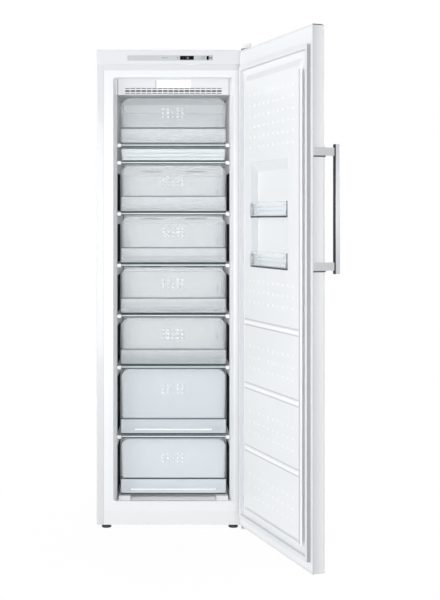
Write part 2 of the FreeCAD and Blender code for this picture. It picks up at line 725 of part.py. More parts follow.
def build_fan():
    """Motor on three arms behind the duct panel's hole, with the rotor on its shaft in the hole."""
    back = DUCT_FRONT + DUCT_WALL
    motor_front = back + ROTOR_DEPTH / 2 + RUN_GAP
    ring = rod(FAN_HOLE_RADIUS + FAN_RING_WALL, (0, back, FAN_Z), (0, motor_front + MOTOR_DEPTH, FAN_Z))
    ring = ring.cut(rod(FAN_HOLE_RADIUS, (0, back - 1, FAN_Z), (0, motor_front + MOTOR_DEPTH + 1, FAN_Z)))
    motor = rod(MOTOR_RADIUS, (0, motor_front, FAN_Z), (0, motor_front + MOTOR_DEPTH, FAN_Z))
    arms = []
    for index in range(3):
        arm = box((0, FAN_HOLE_RADIUS + FAN_RING_WALL / 2),
                  (motor_front + MOTOR_DEPTH - FAN_ARM_DEPTH, motor_front + MOTOR_DEPTH),
                  around(FAN_Z, FAN_ARM_WIDTH))
        arm.rotate(Vector(0, 0, FAN_Z), Vector(0, 1, 0), 90 + 120 * index)
        arms.append(arm)
    bore = rod(SHAFT_RADIUS + SHAFT_CLEARANCE, (0, motor_front - 1, FAN_Z),
               (0, motor_front + MOTOR_DEPTH / 2, FAN_Z))
    save("fan_motor", union([ring, motor] + arms).cut(bore))
    rotor_front = motor_front - RUN_GAP - ROTOR_DEPTH
    hub = rod(ROTOR_HUB_RADIUS, (0, rotor_front, FAN_Z), (0, rotor_front + ROTOR_DEPTH, FAN_Z))
    shaft = rod(SHAFT_RADIUS, (0, rotor_front, FAN_Z), (0, motor_front + MOTOR_DEPTH / 2 - 1, FAN_Z))
    blades = []
    for index in range(BLADE_COUNT):
        blade = box((ROTOR_HUB_RADIUS - BLADE_ROOT, ROTOR_RADIUS),
                    around(rotor_front + ROTOR_DEPTH / 2, BLADE_WALL), around(FAN_Z, BLADE_HEIGHT))
        blade.rotate(Vector(0, rotor_front + ROTOR_DEPTH / 2, FAN_Z), Vector(1, 0, 0), BLADE_TWIST)
        blade.rotate(Vector(0, 0, FAN_Z), Vector(0, 1, 0), 360 / BLADE_COUNT * index)
        blades.append(blade)
    reach = rod(ROTOR_RADIUS, (0, rotor_front, FAN_Z), (0, rotor_front + ROTOR_DEPTH, FAN_Z))
    rotor = union([hub, shaft] + blades)
    save("fan_rotor", rotor.common(union([reach, shaft])))


def build_evaporator():
    """Upright fins on level tubes, seated on the liner's rear wall."""
    depth = (CAVITY_DEPTH - EVAPORATOR_DEPTH, CAVITY_DEPTH)
    tube_y = CAVITY_DEPTH - EVAPORATOR_DEPTH / 2
    half = EVAPORATOR_WIDTH / 2
    solids = []
    rise = (EVAPORATOR_TOP - EVAPORATOR_BOTTOM) / EVAPORATOR_TUBE_COUNT
    for index in range(EVAPORATOR_TUBE_COUNT):
        z = EVAPORATOR_BOTTOM + rise * (index + 0.5)
        solids.append(rod(EVAPORATOR_TUBE_RADIUS, (-half, tube_y, z), (half, tube_y, z)))
    spacing = (EVAPORATOR_WIDTH - FIN_THICKNESS) / (FIN_COUNT - 1)
    for index in range(FIN_COUNT):
        x = -half + index * spacing
        solids.append(box((x, x + FIN_THICKNESS), depth, (EVAPORATOR_BOTTOM, EVAPORATOR_TOP)))
    save("evaporator", union(solids))


# ---------------------------------------------------------------- control panel
def build_fascia():
    """The panel across the top, with a window that has a shoulder for the strip to seat on."""
    plate = box((-HALF_WIDTH, HALF_WIDTH), (-FASCIA_PROUD, 0), (FASCIA_BOTTOM, CABINET_TOP))
    plate = rounded(plate, FASCIA_EDGE, lambda e: e.BoundBox.YMax < -FASCIA_PROUD + 0.01)
    window = box((STRIP_LEFT, STRIP_RIGHT), (-FASCIA_PROUD - 1, -FASCIA_PROUD + STRIP_WALL),
                 (STRIP_BOTTOM, STRIP_TOP))
    behind = box((STRIP_LEFT + FASCIA_SHOULDER, STRIP_RIGHT - FASCIA_SHOULDER), (-FASCIA_PROUD, 1),
                 (STRIP_BOTTOM + FASCIA_SHOULDER, STRIP_TOP - FASCIA_SHOULDER))
    save("control_panel", minus(plate, [window, behind]))


def build_strip():
    """The insert strip in the fascia, with its two windows and two button holes."""
    across = (STRIP_LEFT + STRIP_GAP, STRIP_RIGHT - STRIP_GAP)
    height = (STRIP_BOTTOM + STRIP_GAP, STRIP_TOP - STRIP_GAP)
    front = -FASCIA_PROUD
    strip = box(across, (front, front + STRIP_WALL), height)
    through = (front - 1, front + STRIP_WALL + 1)
    holes = []
    panes = []
    for left, right in WINDOWS:
        holes.append(box((left, right), through, (WINDOW_BOTTOM, WINDOW_TOP)))
        panes.append(box((left, right), (front, front + STRIP_WALL), (WINDOW_BOTTOM, WINDOW_TOP)))
    middle = (WINDOW_BOTTOM + WINDOW_TOP) / 2
    for centre in BUTTON_CENTRES:
        holes.append(box(around(centre, BUTTON_WIDTH + 2 * BUTTON_GAP), through,
                         around(middle, BUTTON_HEIGHT + 2 * BUTTON_GAP)))
    save("control_strip", minus(strip, holes))
    save("display_windows", Part.makeCompound(panes))


def build_buttons_and_board():
    """Buttons with stems that reach the board's switches, and the board at the pocket's back."""
    middle = (WINDOW_BOTTOM + WINDOW_TOP) / 2
    board = box((STRIP_LEFT, STRIP_RIGHT), (BOARD_FRONT, BOARD_FRONT + BOARD_WALL),
                (STRIP_BOTTOM, STRIP_TOP))
    solids = [board]
    front = -FASCIA_PROUD - BUTTON_PROUD
    for name, centre in zip(("button_left", "button_right"), BUTTON_CENTRES):
        switch_front = BOARD_FRONT - SWITCH_DEPTH
        solids.append(rod(SWITCH_RADIUS, (centre, switch_front, middle), (centre, BOARD_FRONT, middle)))
        cap = box(around(centre, BUTTON_WIDTH), (front, front + STRIP_WALL + BUTTON_PROUD),
                  around(middle, BUTTON_HEIGHT))
        stem = rod(SWITCH_RADIUS, (centre, front + STRIP_WALL, middle),
                   (centre, switch_front - BUTTON_TRAVEL - RUN_GAP, middle))
        save(name, union([cap, stem]))
    save("control_board", union(solids))


# ---------------------------------------------------------------- door
def door_outline(u_inset, n, z):
    """The door's block with its two front upright edges rounded."""
    block = door_box((u_inset, CABINET_WIDTH - u_inset), n, z)
    edges = [e for e in block.Edges
             if is_upright(e) and abs(e.Vertexes[0].Point.y + n[1]) < 0.01]
    return block.makeFillet(DOOR_EDGE_RADIUS - u_inset, edges)


def niche_space(wall):
    """The niche in the door's plug, grown by a wall: its sides and top slope in towards its back."""
    return loft([
        door_loop((NICHE_LEFT - wall, NICHE_RIGHT + wall), PLUG_FACE + wall,
                  (NICHE_BOTTOM - wall, NICHE_TOP + wall)),
        door_loop((NICHE_LEFT + NICHE_SIDE_SLOPE - wall, NICHE_RIGHT - NICHE_SIDE_SLOPE + wall),
                  NICHE_DEPTH + wall, (NICHE_BOTTOM - wall, NICHE_TOP - NICHE_TOP_SLOPE + wall)),
    ])


def door_core(wall):
    """What lies behind the inner panel's face, set back from it by a wall."""
    inset = DOOR_SKIN
    height = (DOOR_BOTTOM + CAP_HEIGHT, DOOR_TOP - CAP_HEIGHT)
    slab = door_outline(inset, (DOOR_GAP + wall, DOOR_FACE - DOOR_SKIN), height)
    base_u = (PLUG_EDGE - PLUG_SLOPE + wall, CABINET_WIDTH - PLUG_EDGE + PLUG_SLOPE - wall)
    base_z = (PLUG_BOTTOM - PLUG_SLOPE + wall, PLUG_TOP + PLUG_TOP_SLOPE - wall)
    face_u = (PLUG_EDGE + wall, CABINET_WIDTH - PLUG_EDGE - wall)
    face_z = (PLUG_BOTTOM + wall, PLUG_TOP - wall)
    plug = loft([
        door_loop(base_u, DOOR_GAP + wall, base_z),
        door_loop(face_u, PLUG_FACE + wall, face_z),
    ])
    return slab.fuse(plug).cut(niche_space(wall))


def build_inner_panel():
    """The formed sheet: a plug with cross ribs, and a niche with two seats for the upper bin."""
    panel = door_core(0).cut(door_core(LINER_WALL))
    seats = []
    reach = NICHE_SIDE_SLOPE + BIN_SEAT_REACH
    for u in ((NICHE_LEFT, NICHE_LEFT + reach), (NICHE_RIGHT - reach, NICHE_RIGHT)):
        seat = door_box(u, ((PLUG_FACE + NICHE_DEPTH) / 2, NICHE_DEPTH),
                        (UPPER_BIN_BOTTOM - RUN_GAP - BIN_SEAT_HEIGHT, UPPER_BIN_BOTTOM - RUN_GAP))
        seats.append(seat.common(niche_space(0)))
    ribs = []
    for level in RIB_LEVELS:
        across = (PLUG_EDGE, CABINET_WIDTH - PLUG_EDGE)
        ribs.append(loft([
            door_loop(across, PLUG_FACE, around(level, RIB_HEIGHT)),
            door_loop((across[0] + RIB_BEVEL, across[1] - RIB_BEVEL), PLUG_FACE - RIB_PROUD,
                      around(level, RIB_HEIGHT - 2 * RIB_BEVEL)),
        ]))
    save("door_inner_panel", swing(union([panel] + seats + ribs)))


def build_door():
    height = (DOOR_BOTTOM + CAP_HEIGHT, DOOR_TOP - CAP_HEIGHT)
    depth = (DOOR_GAP, DOOR_FACE)
    inner = door_outline(DOOR_SKIN, (DOOR_GAP - 1, DOOR_FACE - DOOR_SKIN), height)
    save("door_outer_skin", swing(door_outline(0, depth, height).cut(inner)))
    hinge = (HINGE_X, HINGE_Y)
    low_bore = rod(BUSH_RADIUS, (*hinge, DOOR_BOTTOM - 1), (*hinge, DOOR_BOTTOM + BUSH_DEPTH))
    high_bore = rod(BUSH_RADIUS, (*hinge, DOOR_TOP - BUSH_DEPTH), (*hinge, DOOR_TOP + 1))
    low_cap = door_outline(0, depth, (DOOR_BOTTOM, height[0]))
    high_cap = door_outline(0, depth, (height[1], DOOR_TOP))
    caps = [low_cap.cut(low_bore), high_cap.cut(high_bore)]
    save("door_end_caps", swing(Part.makeCompound(caps)))
    save("door_foam", swing(minus(door_core(LINER_WALL), [low_bore, high_bore])))
    bushes = []
    for start, end, pin in (
        (DOOR_BOTTOM, DOOR_BOTTOM + BUSH_DEPTH, (DOOR_BOTTOM - 1, DOOR_BOTTOM + PIN_LENGTH + 1)),
        (DOOR_TOP - BUSH_DEPTH, DOOR_TOP, (DOOR_TOP - PIN_LENGTH - 1, DOOR_TOP + 1)),
    ):
        bush = rod(BUSH_RADIUS, (*hinge, start), (*hinge, end))
        bushes.append(bush.cut(rod(PIN_RADIUS + PIN_CLEARANCE, (*hinge, pin[0]), (*hinge, pin[1]))))
    save("door_hinge_bushes", swing(Part.makeCompound(bushes)))


def build_gasket():
    """The magnetic seal: a square ring round the plug, against the inner panel's land."""
    free = CABINET_WIDTH - GASKET_FREE_EDGE
    depth = (GASKET_CLEARANCE, DOOR_GAP)
    ring = door_box((GASKET_OUTER, free), depth, (GASKET_BOTTOM, GASKET_TOP))
    hole = door_box((GASKET_OUTER + GASKET_WIDTH, free - GASKET_WIDTH), (0, DOOR_GAP + 1),
                    (GASKET_BOTTOM + GASKET_WIDTH, GASKET_TOP - GASKET_WIDTH))
    save("door_gasket", swing(ring.cut(hole)))


def build_bins():
    """Clear bins that stand in the niche: floor, low front, full ends and back."""
    for name, low in (("upper_door_bin", UPPER_BIN_BOTTOM), ("lower_door_bin", NICHE_BOTTOM + RUN_GAP)):
        high = low + BIN_HEIGHT
        front = PLUG_FACE - BIN_PROUD
        back = NICHE_DEPTH - BIN_GAP
        slope = NICHE_SIDE_SLOPE / (NICHE_DEPTH - PLUG_FACE)
        face_u = (NICHE_LEFT + BIN_GAP + slope, NICHE_RIGHT - BIN_GAP - slope)
        back_u = (NICHE_LEFT + NICHE_SIDE_SLOPE + BIN_GAP, NICHE_RIGHT - NICHE_SIDE_SLOPE - BIN_GAP)
        outer = loft([
            door_loop(face_u, PLUG_FACE, (low, high)),
            door_loop(back_u, back, (low, high)),
        ])
        outer = outer.fuse(door_box(face_u, (front, PLUG_FACE), (low, high)))
        wall = BIN_WALL
        floor = low + BIN_WALL
        inner = loft([
            door_loop((face_u[0] + wall, face_u[1] - wall), PLUG_FACE, (floor, high + 1)),
            door_loop((back_u[0] + wall, back_u[1] - wall), back - wall, (floor, high + 1)),
        ])
        inner = inner.fuse(door_box((face_u[0] + wall, face_u[1] - wall), (front + wall, PLUG_FACE),
                                    (floor, high + 1)))
        notch = door_box((face_u[0] + 2 * wall, face_u[1] - 2 * wall), (front - 1, front + wall + 1),
                         (low + BIN_FRONT_HEIGHT, high + 1))
        save(name, swing(minus(outer, [inner, notch]).removeSplitter()))


# ---------------------------------------------------------------- handle
def bracket_levels():
    """The middles of the two handle brackets."""
    inset = BRACKET_INSET + BRACKET_HEIGHT / 2
    return (HANDLE_BOTTOM + inset, HANDLE_TOP - inset)


def bracket_screws():
    """Where the screws go through the brackets into the door's edge, as (n, z)."""
    places = []
    for level in bracket_levels():
        near = DOOR_GAP + BRACKET_START + BRACKET_SCREW_INSET
        for n in (near, DOOR_FACE - DOOR_EDGE_RADIUS - BRACKET_SCREW_INSET):
            places.append((n, level))
    return places


def is_end(edge):
    """True for an edge round the bottom or the top of the handle bar."""
    box_z = edge.BoundBox
    return box_z.ZMax < HANDLE_BOTTOM + 0.01 or box_z.ZMin > HANDLE_TOP - 0.01


def build_handle():
    """A round-edged bar, and two plates on the door's edge that carry it on solid ends."""
    centre = CABINET_WIDTH - HANDLE_CENTRE
    near = DOOR_FACE + HANDLE_STANDOFF
    bar = door_box(around(centre, HANDLE_WIDTH), (near, near + HANDLE_DEPTH), (HANDLE_BOTTOM, HANDLE_TOP))
    bar = rounded(bar, HANDLE_ROUND, is_upright)
    bar = rounded(bar, HANDLE_END_ROUND, is_end)
    save("handle_bar", swing(bar))
    brackets = []
    screws = []
    edge = CABINET_WIDTH
    for level in bracket_levels():
        height = around(level, BRACKET_HEIGHT)
        plate = door_box((edge, edge + BRACKET_WALL), (DOOR_GAP + BRACKET_START, near), height)
        block = door_box((edge + BRACKET_WALL - BRACKET_BLOCK, edge), (DOOR_FACE, near), height)
        brackets.append(plate.fuse(block).removeSplitter())
    plates = Part.makeCompound(brackets)
    for n, z in bracket_screws():
        outer = edge + BRACKET_WALL
        start = (HALF_WIDTH - outer, -n, z)
        plates = plates.cut(rod(SCREW_HOLE_RADIUS, (HALF_WIDTH - outer - 1, -n, z),
                                (HALF_WIDTH - edge + 1, -n, z)))
        head = rod(SCREW_HEAD_RADIUS, (HALF_WIDTH - outer - SCREW_HEAD_HEIGHT, -n, z), start)
        shank = rod(SCREW_SHANK_RADIUS, start, (HALF_WIDTH - edge, -n, z))
        screws.append(union([head, shank]))
    save("handle_brackets", swing(plates))
    save("handle_screws", swing(Part.makeCompound(screws)))


# ---------------------------------------------------------------- hinges
def hinge_screw_places():
    """The upper hinge's three screws, behind the front flange."""
    return [(HINGE_X - HINGE_SCREW_OFFSET, HINGE_SCREW_START + HINGE_SCREW_PITCH * index)
            for index in range(3)]


def screw_hole(x, y):
    """The hole of one upper hinge screw, down into the cabinet's top."""
    return rod(SCREW_HOLE_RADIUS, (x, y, CABINET_TOP - HINGE_SCREW_LENGTH - 1),
               (x, y, CABINET_TOP + HINGE_PLATE + 1))


def lower_hinge_plate():
    """The lower bracket's flat plate, let into the base."""
    return box((HALF_WIDTH - CASING_WALL - HINGE_PLATE_WIDTH, HALF_WIDTH - CASING_WALL),
               (HINGE_Y - HINGE_PLATE_REACH, HINGE_PLATE_BACK),
               (CABINET_BOTTOM - HINGE_PLATE, CABINET_BOTTOM))


def build_hinges():
    plate_x = (HALF_WIDTH - CASING_WALL - HINGE_PLATE_WIDTH, HALF_WIDTH - CASING_WALL)
    plate = box(plate_x, (HINGE_Y - HINGE_PLATE_REACH, HINGE_PLATE_BACK),
                (CABINET_TOP, CABINET_TOP + HINGE_PLATE))
    pin = rod(PIN_RADIUS, (HINGE_X, HINGE_Y, DOOR_TOP - PIN_LENGTH),
              (HINGE_X, HINGE_Y, CABINET_TOP))
    holes = [screw_hole(x, y) for x, y in hinge_screw_places()]
    save("upper_hinge", minus(union([plate, pin]), holes))
    screws = []
    for x, y in hinge_screw_places():
        seat = CABINET_TOP + HINGE_PLATE
        head = rod(SCREW_HEAD_RADIUS, (x, y, seat), (x, y, seat + SCREW_HEAD_HEIGHT))
        shank = rod(SCREW_SHANK_RADIUS, (x, y, CABINET_TOP - HINGE_SCREW_LENGTH), (x, y, seat))
        screws.append(union([head, shank]))
    save("hinge_screws", Part.makeCompound(screws))
    gap = HINGE_COVER_GAP
    wall = HINGE_COVER_WALL
    inside_y = (HINGE_Y - HINGE_PLATE_REACH - gap, HINGE_PLATE_BACK + gap)
    inside_x = (plate_x[0] - gap, plate_x[1] - wall + CASING_WALL)
    outer = box((inside_x[0] - wall, HALF_WIDTH), (inside_y[0] - wall, inside_y[1] + wall),
                (CABINET_TOP, HINGE_COVER_TOP))
    outer = outer.makeFillet(HINGE_COVER_CORNER, [e for e in outer.Edges if is_upright(e)])
    inner = box((inside_x[0], plate_x[1]), inside_y,
                (CABINET_TOP - 1, HINGE_COVER_TOP - wall))
    save("hinge_cover", outer.cut(inner))
    low_pin = rod(PIN_RADIUS, (HINGE_X, HINGE_Y, CABINET_BOTTOM),
                  (HINGE_X, HINGE_Y, DOOR_BOTTOM + PIN_LENGTH))
    washer = rod(HINGE_WASHER_RADIUS, (HINGE_X, HINGE_Y, CABINET_BOTTOM),
                 (HINGE_X, HINGE_Y, DOOR_BOTTOM - RUN_GAP))
    web = box((plate_x[0], plate_x[0] + HINGE_PLATE), (HINGE_Y, HINGE_PLATE_BACK / 2),
              (CABINET_BOTTOM - 3 * HINGE_PLATE, CABINET_BOTTOM - HINGE_PLATE))
    save("lower_hinge", union([lower_hinge_plate(), low_pin, washer, web]))


# ---------------------------------------------------------------- feet and rollers
def build_feet():
    for name, x in zip(("foot_left", "foot_right"), FOOT_X):
        profile = [
            (x, FOOT_Y, 0),
            (x + FOOT_RADIUS, FOOT_Y, 0),
            (x + FOOT_RADIUS, FOOT_Y, FOOT_DISC_HEIGHT),
        ]
        steps = 6
        for index in range(1, steps + 1):
            angle = math.pi / 2 * index / steps
            reach = FOOT_NECK_RADIUS + (FOOT_RADIUS - FOOT_NECK_RADIUS) * math.cos(angle)
            rise = FOOT_DISC_HEIGHT + (FOOT_DOME_HEIGHT - FOOT_DISC_HEIGHT) * math.sin(angle)
            profile.append((x + reach, FOOT_Y, rise))
        profile += [
            (x + STUD_RADIUS, FOOT_Y, FOOT_DOME_HEIGHT),
            (x + STUD_RADIUS, FOOT_Y, FOOT_DOME_HEIGHT + STUD_LENGTH),
            (x, FOOT_Y, FOOT_DOME_HEIGHT + STUD_LENGTH),
        ]
        save(name, outline(profile).revolve(Vector(x, FOOT_Y, 0), Vector(0, 0, 1), 360))


def build_rollers():
    for name, x in zip(("roller_left", "roller_right"), ROLLER_X):
        half = ROLLER_WIDTH / 2
        wheel = rod(ROLLER_RADIUS, (x - half, ROLLER_Y, ROLLER_RADIUS), (x + half, ROLLER_Y, ROLLER_RADIUS))
        bore = rod(AXLE_RADIUS + PIN_CLEARANCE, (x - half - 1, ROLLER_Y, ROLLER_RADIUS),
                   (x + half + 1, ROLLER_Y, ROLLER_RADIUS))
        save(name, wheel.cut(bore))


# ---------------------------------------------------------------- machinery
def condenser_levels():
    return [CONDENSER_BOTTOM + CONDENSER_PITCH * index for index in range(CONDENSER_RUNS)]


def condenser_y():
    return CABINET_DEPTH + CONDENSER_STANDOFF


def build_condenser():
    """One tube that runs to and fro up the back, with upright wires welded on behind it."""
    y = condenser_y()
    levels = condenser_levels()
    bend = CONDENSER_PITCH / 2
    half = CONDENSER_WIDTH / 2 + SPACER_WIDTH
    edges = []
    side = 1
    for index, z in enumerate(levels):
        edges.append(Part.LineSegment(Vector(-side * half, y, z), Vector(side * half, y, z)).toShape())
        if index + 1 < len(levels):
            top = levels[index + 1]
            edges.append(Part.Arc(Vector(side * half, y, z), Vector(side * (half + bend), y, z + bend),
                                  Vector(side * half, y, top)).toShape())
        side = -side
    path = Part.Wire(edges)
    start = Vector(-half, y, levels[0])
    circle = Part.Wire(Part.makeCircle(CONDENSER_TUBE_RADIUS, start, Vector(1, 0, 0)))
    save("condenser_tube", path.makePipeShell([circle], True, False))
    wires = []
    wire_y = y + CONDENSER_TUBE_RADIUS + WIRE_RADIUS
    spacing = (CONDENSER_WIDTH - 2 * WIRE_RADIUS) / (WIRE_COUNT - 1)
    for index in range(WIRE_COUNT):
        x = -CONDENSER_WIDTH / 2 + WIRE_RADIUS + index * spacing
        wires.append(rod(WIRE_RADIUS, (x, wire_y, levels[0] - bend / 2), (x, wire_y, levels[-1] + bend / 2)))
    save("condenser_wires", Part.makeCompound(wires))


def build_compressor():
    """A domed can on a foot plate that stands on four rubber mounts."""
    x, y = COMPRESSOR_X, COMPRESSOR_Y
    plate_z = BASE_TOP + MOUNT_HEIGHT
    body_z = plate_z + COMPRESSOR_PLATE
    top_z = body_z + COMPRESSOR_BODY
    plate = box(around(x, 2 * MOUNT_OFFSET + 4 * MOUNT_RADIUS), around(y, 2 * MOUNT_OFFSET + 2 * MOUNT_RADIUS),
                (plate_z, body_z))
    dome = Part.makeSphere(COMPRESSOR_RADIUS, Vector(0, 0, 0), Vector(0, 0, 1), 0, 90)
    flat = FreeCAD.Matrix()
    flat.scale(1, 1, COMPRESSOR_DOME / COMPRESSOR_RADIUS)
    dome = dome.transformGeometry(flat)
    dome.translate(Vector(x, y, top_z))
    can = rod(COMPRESSOR_RADIUS, (x, y, body_z), (x, y, top_z))
    relay = box((x, x + COMPRESSOR_RADIUS + RELAY_PROUD), around(y, RELAY_LENGTH),
                (body_z + RELAY_LIFT, body_z + RELAY_LIFT + RELAY_HEIGHT))
    save("compressor", union([plate, can, relay, dome]))
    mounts = []
    for dx in (-1, 1):
        for dy in (-1, 1):
            place = (x + dx * (MOUNT_OFFSET + MOUNT_RADIUS), y + dy * MOUNT_OFFSET)
            mounts.append(rod(MOUNT_RADIUS, (*place, BASE_TOP), (*place, plate_z)))
    save("compressor_mounts", Part.makeCompound(mounts))
    low = top_z + COMPRESSOR_DOME
    outer = box(around(x, DRIP_TRAY_SIZE), around(y, DRIP_TRAY_SIZE), (low, low + DRIP_TRAY_HEIGHT))
    inner = box(around(x, DRIP_TRAY_SIZE - 2 * DRIP_TRAY_WALL), around(y, DRIP_TRAY_SIZE - 2 * DRIP_TRAY_WALL),
                (low + DRIP_TRAY_WALL, low + DRIP_TRAY_HEIGHT + 1))
    save("drip_tray", outer.cut(inner))


def bent_pipe(points):
    """A round pipe along straight runs joined by tangent arcs."""
    corners = [Vector(*p) for p in points]
    edges = []
    start = corners[0]
    for before, corner, after in zip(corners, corners[1:], corners[2:]):
        back = (before - corner).normalize() * PIPE_BEND
        ahead = (after - corner).normalize() * PIPE_BEND
        middle = corner + (back + ahead) * (1 - math.sqrt(0.5))
        edges.append(Part.LineSegment(start, corner + back).toShape())
        edges.append(Part.Arc(corner + back, middle, corner + ahead).toShape())
        start = corner + ahead
    edges.append(Part.LineSegment(start, corners[-1]).toShape())
    circle = Part.Wire(Part.makeCircle(PIPE_RADIUS, corners[0], corners[1] - corners[0]))
    return Part.Wire(edges).makePipeShell([circle], True, False)


def build_pipes():
    """The discharge pipe up to the condenser's first run, and the suction pipe into the recess's roof."""
    x, y = COMPRESSOR_X, COMPRESSOR_Y
    low = BASE_TOP + MOUNT_HEIGHT + COMPRESSOR_PLATE + PIPE_LIFT
    reach = CONDENSER_WIDTH / 2 + SPACER_WIDTH
    rise_x = -reach - 2 * PIPE_BEND
    back = condenser_y()
    discharge = bent_pipe([
        (x, y, low),
        (x, back, low),
        (rise_x, back, low),
        (rise_x, back, CONDENSER_BOTTOM),
        (-reach, back, CONDENSER_BOTTOM),
    ])
    side = x + SUCTION_OFFSET
    behind = y + COMPRESSOR_RADIUS + SUCTION_RUN - PIPE_BEND
    suction = bent_pipe([(side, y, low), (side, behind, low), (side, behind, RECESS_TOP)])
    can = rod(COMPRESSOR_RADIUS, (x, y, BASE_TOP), (x, y, RECESS_TOP))
    save("refrigerant_pipes", Part.makeCompound([discharge.cut(can), suction.cut(can)]))


def build_gland():
    """The mains inlet's strain relief on a small box that stands on the base plate."""
    box_y = (CABINET_DEPTH - GLAND_LENGTH - GLAND_BOX_DEPTH, CABINET_DEPTH - GLAND_LENGTH)
    body = box(around(GLAND_X, GLAND_BOX_WIDTH), box_y, (BASE_TOP, GLAND_Z + 2 * GLAND_RADIUS))
    relief = Part.makeCone(GLAND_RADIUS, GLAND_RADIUS * GLAND_TIP, GLAND_LENGTH,
                           Vector(GLAND_X, box_y[1], GLAND_Z), Vector(0, 1, 0))
    save("cable_gland", union([body, relief]))


build_casing()
build_liner()
build_foam()
build_rear_panel()
build_base_pan()
build_shelves()
build_trims()
build_rails()
build_drawers()
build_fan_cover()
build_duct_panel()
build_fan()
build_evaporator()
build_fascia()
build_strip()
build_buttons_and_board()
build_inner_panel()
build_door()
build_gasket()
build_bins()
build_handle()
build_hinges()
build_feet()
build_rollers()
build_condenser()
build_compressor()
build_pipes()
build_gland()
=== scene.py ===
import json
import math

import bpy
import numpy as np
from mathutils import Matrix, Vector


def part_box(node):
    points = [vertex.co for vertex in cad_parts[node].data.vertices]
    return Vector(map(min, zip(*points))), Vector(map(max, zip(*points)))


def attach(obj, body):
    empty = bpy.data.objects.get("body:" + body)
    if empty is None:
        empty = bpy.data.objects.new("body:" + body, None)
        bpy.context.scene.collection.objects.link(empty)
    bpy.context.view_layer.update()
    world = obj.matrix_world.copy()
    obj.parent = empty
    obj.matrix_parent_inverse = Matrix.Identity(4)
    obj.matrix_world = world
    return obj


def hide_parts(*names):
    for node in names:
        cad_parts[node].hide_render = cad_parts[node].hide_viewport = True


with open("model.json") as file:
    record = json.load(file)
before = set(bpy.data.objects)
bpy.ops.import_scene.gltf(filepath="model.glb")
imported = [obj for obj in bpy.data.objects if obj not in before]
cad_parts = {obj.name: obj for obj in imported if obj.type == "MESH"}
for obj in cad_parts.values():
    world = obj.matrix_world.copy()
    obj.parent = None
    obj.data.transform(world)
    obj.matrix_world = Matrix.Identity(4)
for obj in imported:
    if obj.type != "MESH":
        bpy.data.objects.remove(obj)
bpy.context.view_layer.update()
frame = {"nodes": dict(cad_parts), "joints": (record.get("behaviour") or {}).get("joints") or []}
nodes = frame["nodes"]
MM = 0.001


def mm(*values):
    """Millimetres given in metres."""
    return tuple(value * MM for value in values)


# ---------------------------------------------------------------- shader building
DRIFT_SCALE = 5.0
DRIFT_DETAIL = 3.0
GRAIN_DETAIL = 3.0
GLOSS_SPREAD = 0.15
FACING_BLEND = 0.5
GRAZING_POWER = 4.0
EDGE_COVER = 0.85
LIGHT_PASSED = 0.9
SMOOTH_GRAIN = 60.0
LENS_GRAIN = 400.0
LENS_ROUGHNESS = 0.3
POLISH_DEPTH = 0.00002


def material(name):
    """An empty node material and its Principled shader."""
    made = bpy.data.materials.new(name)
    made.use_nodes = True
    return made, made.node_tree.nodes["Principled BSDF"]


def node(tree, kind, **settings):
    """A new node of this kind with its properties set."""
    added = tree.nodes.new(kind)
    for key, value in settings.items():
        setattr(added, key, value)
    return added


def arithmetic(tree, operation, first, second):
    """The result of a math node on two sockets or numbers."""
    added = node(tree, "ShaderNodeMath", operation=operation)
    for index, value in enumerate((first, second)):
        if isinstance(value, (int, float)):
            added.inputs[index].default_value = value
        else:
            tree.links.new(value, added.inputs[index])
    return added.outputs[0]


def attribute(tree, name):
    """The number that a piece holds at its points under this name, or 0 where it has none."""
    return node(tree, "ShaderNodeAttribute", attribute_name=name).outputs["Fac"]


def object_noise(tree, scale, detail, stretch=(1, 1, 1)):
    """Noise on the piece's own coordinates, drawn out along an axis by a small stretch value."""
    place = node(tree, "ShaderNodeTexCoord")
    turn = node(tree, "ShaderNodeMapping")
    turn.inputs["Scale"].default_value = stretch
    noise = node(tree, "ShaderNodeTexNoise")
    noise.inputs["Scale"].default_value = scale
    noise.inputs["Detail"].default_value = detail
    tree.links.new(place.outputs["Object"], turn.inputs["Vector"])
    tree.links.new(turn.outputs["Vector"], noise.inputs["Vector"])
    return noise.outputs["Fac"]


def tint(tree, factor, low, high):
    """A colour between two, by a factor. The first may be a socket."""
    mix = node(tree, "ShaderNodeMix", data_type="RGBA")
    if isinstance(low, tuple):
        mix.inputs["A"].default_value = (*low, 1)
    else:
        tree.links.new(low, mix.inputs["A"])
    mix.inputs["B"].default_value = (*high, 1)
    tree.links.new(factor, mix.inputs["Factor"])
    return mix.outputs["Result"]


def span(tree, factor, low, high, start=0.0, end=1.0):
    """A number that runs from low to high while the factor runs from its start to its end."""
    ramp = node(tree, "ShaderNodeMapRange")
    ramp.inputs["From Min"].default_value = start
    ramp.inputs["From Max"].default_value = end
    ramp.inputs["To Min"].default_value = low
    ramp.inputs["To Max"].default_value = high
    tree.links.new(factor, ramp.inputs["Value"])
    return ramp.outputs["Result"]


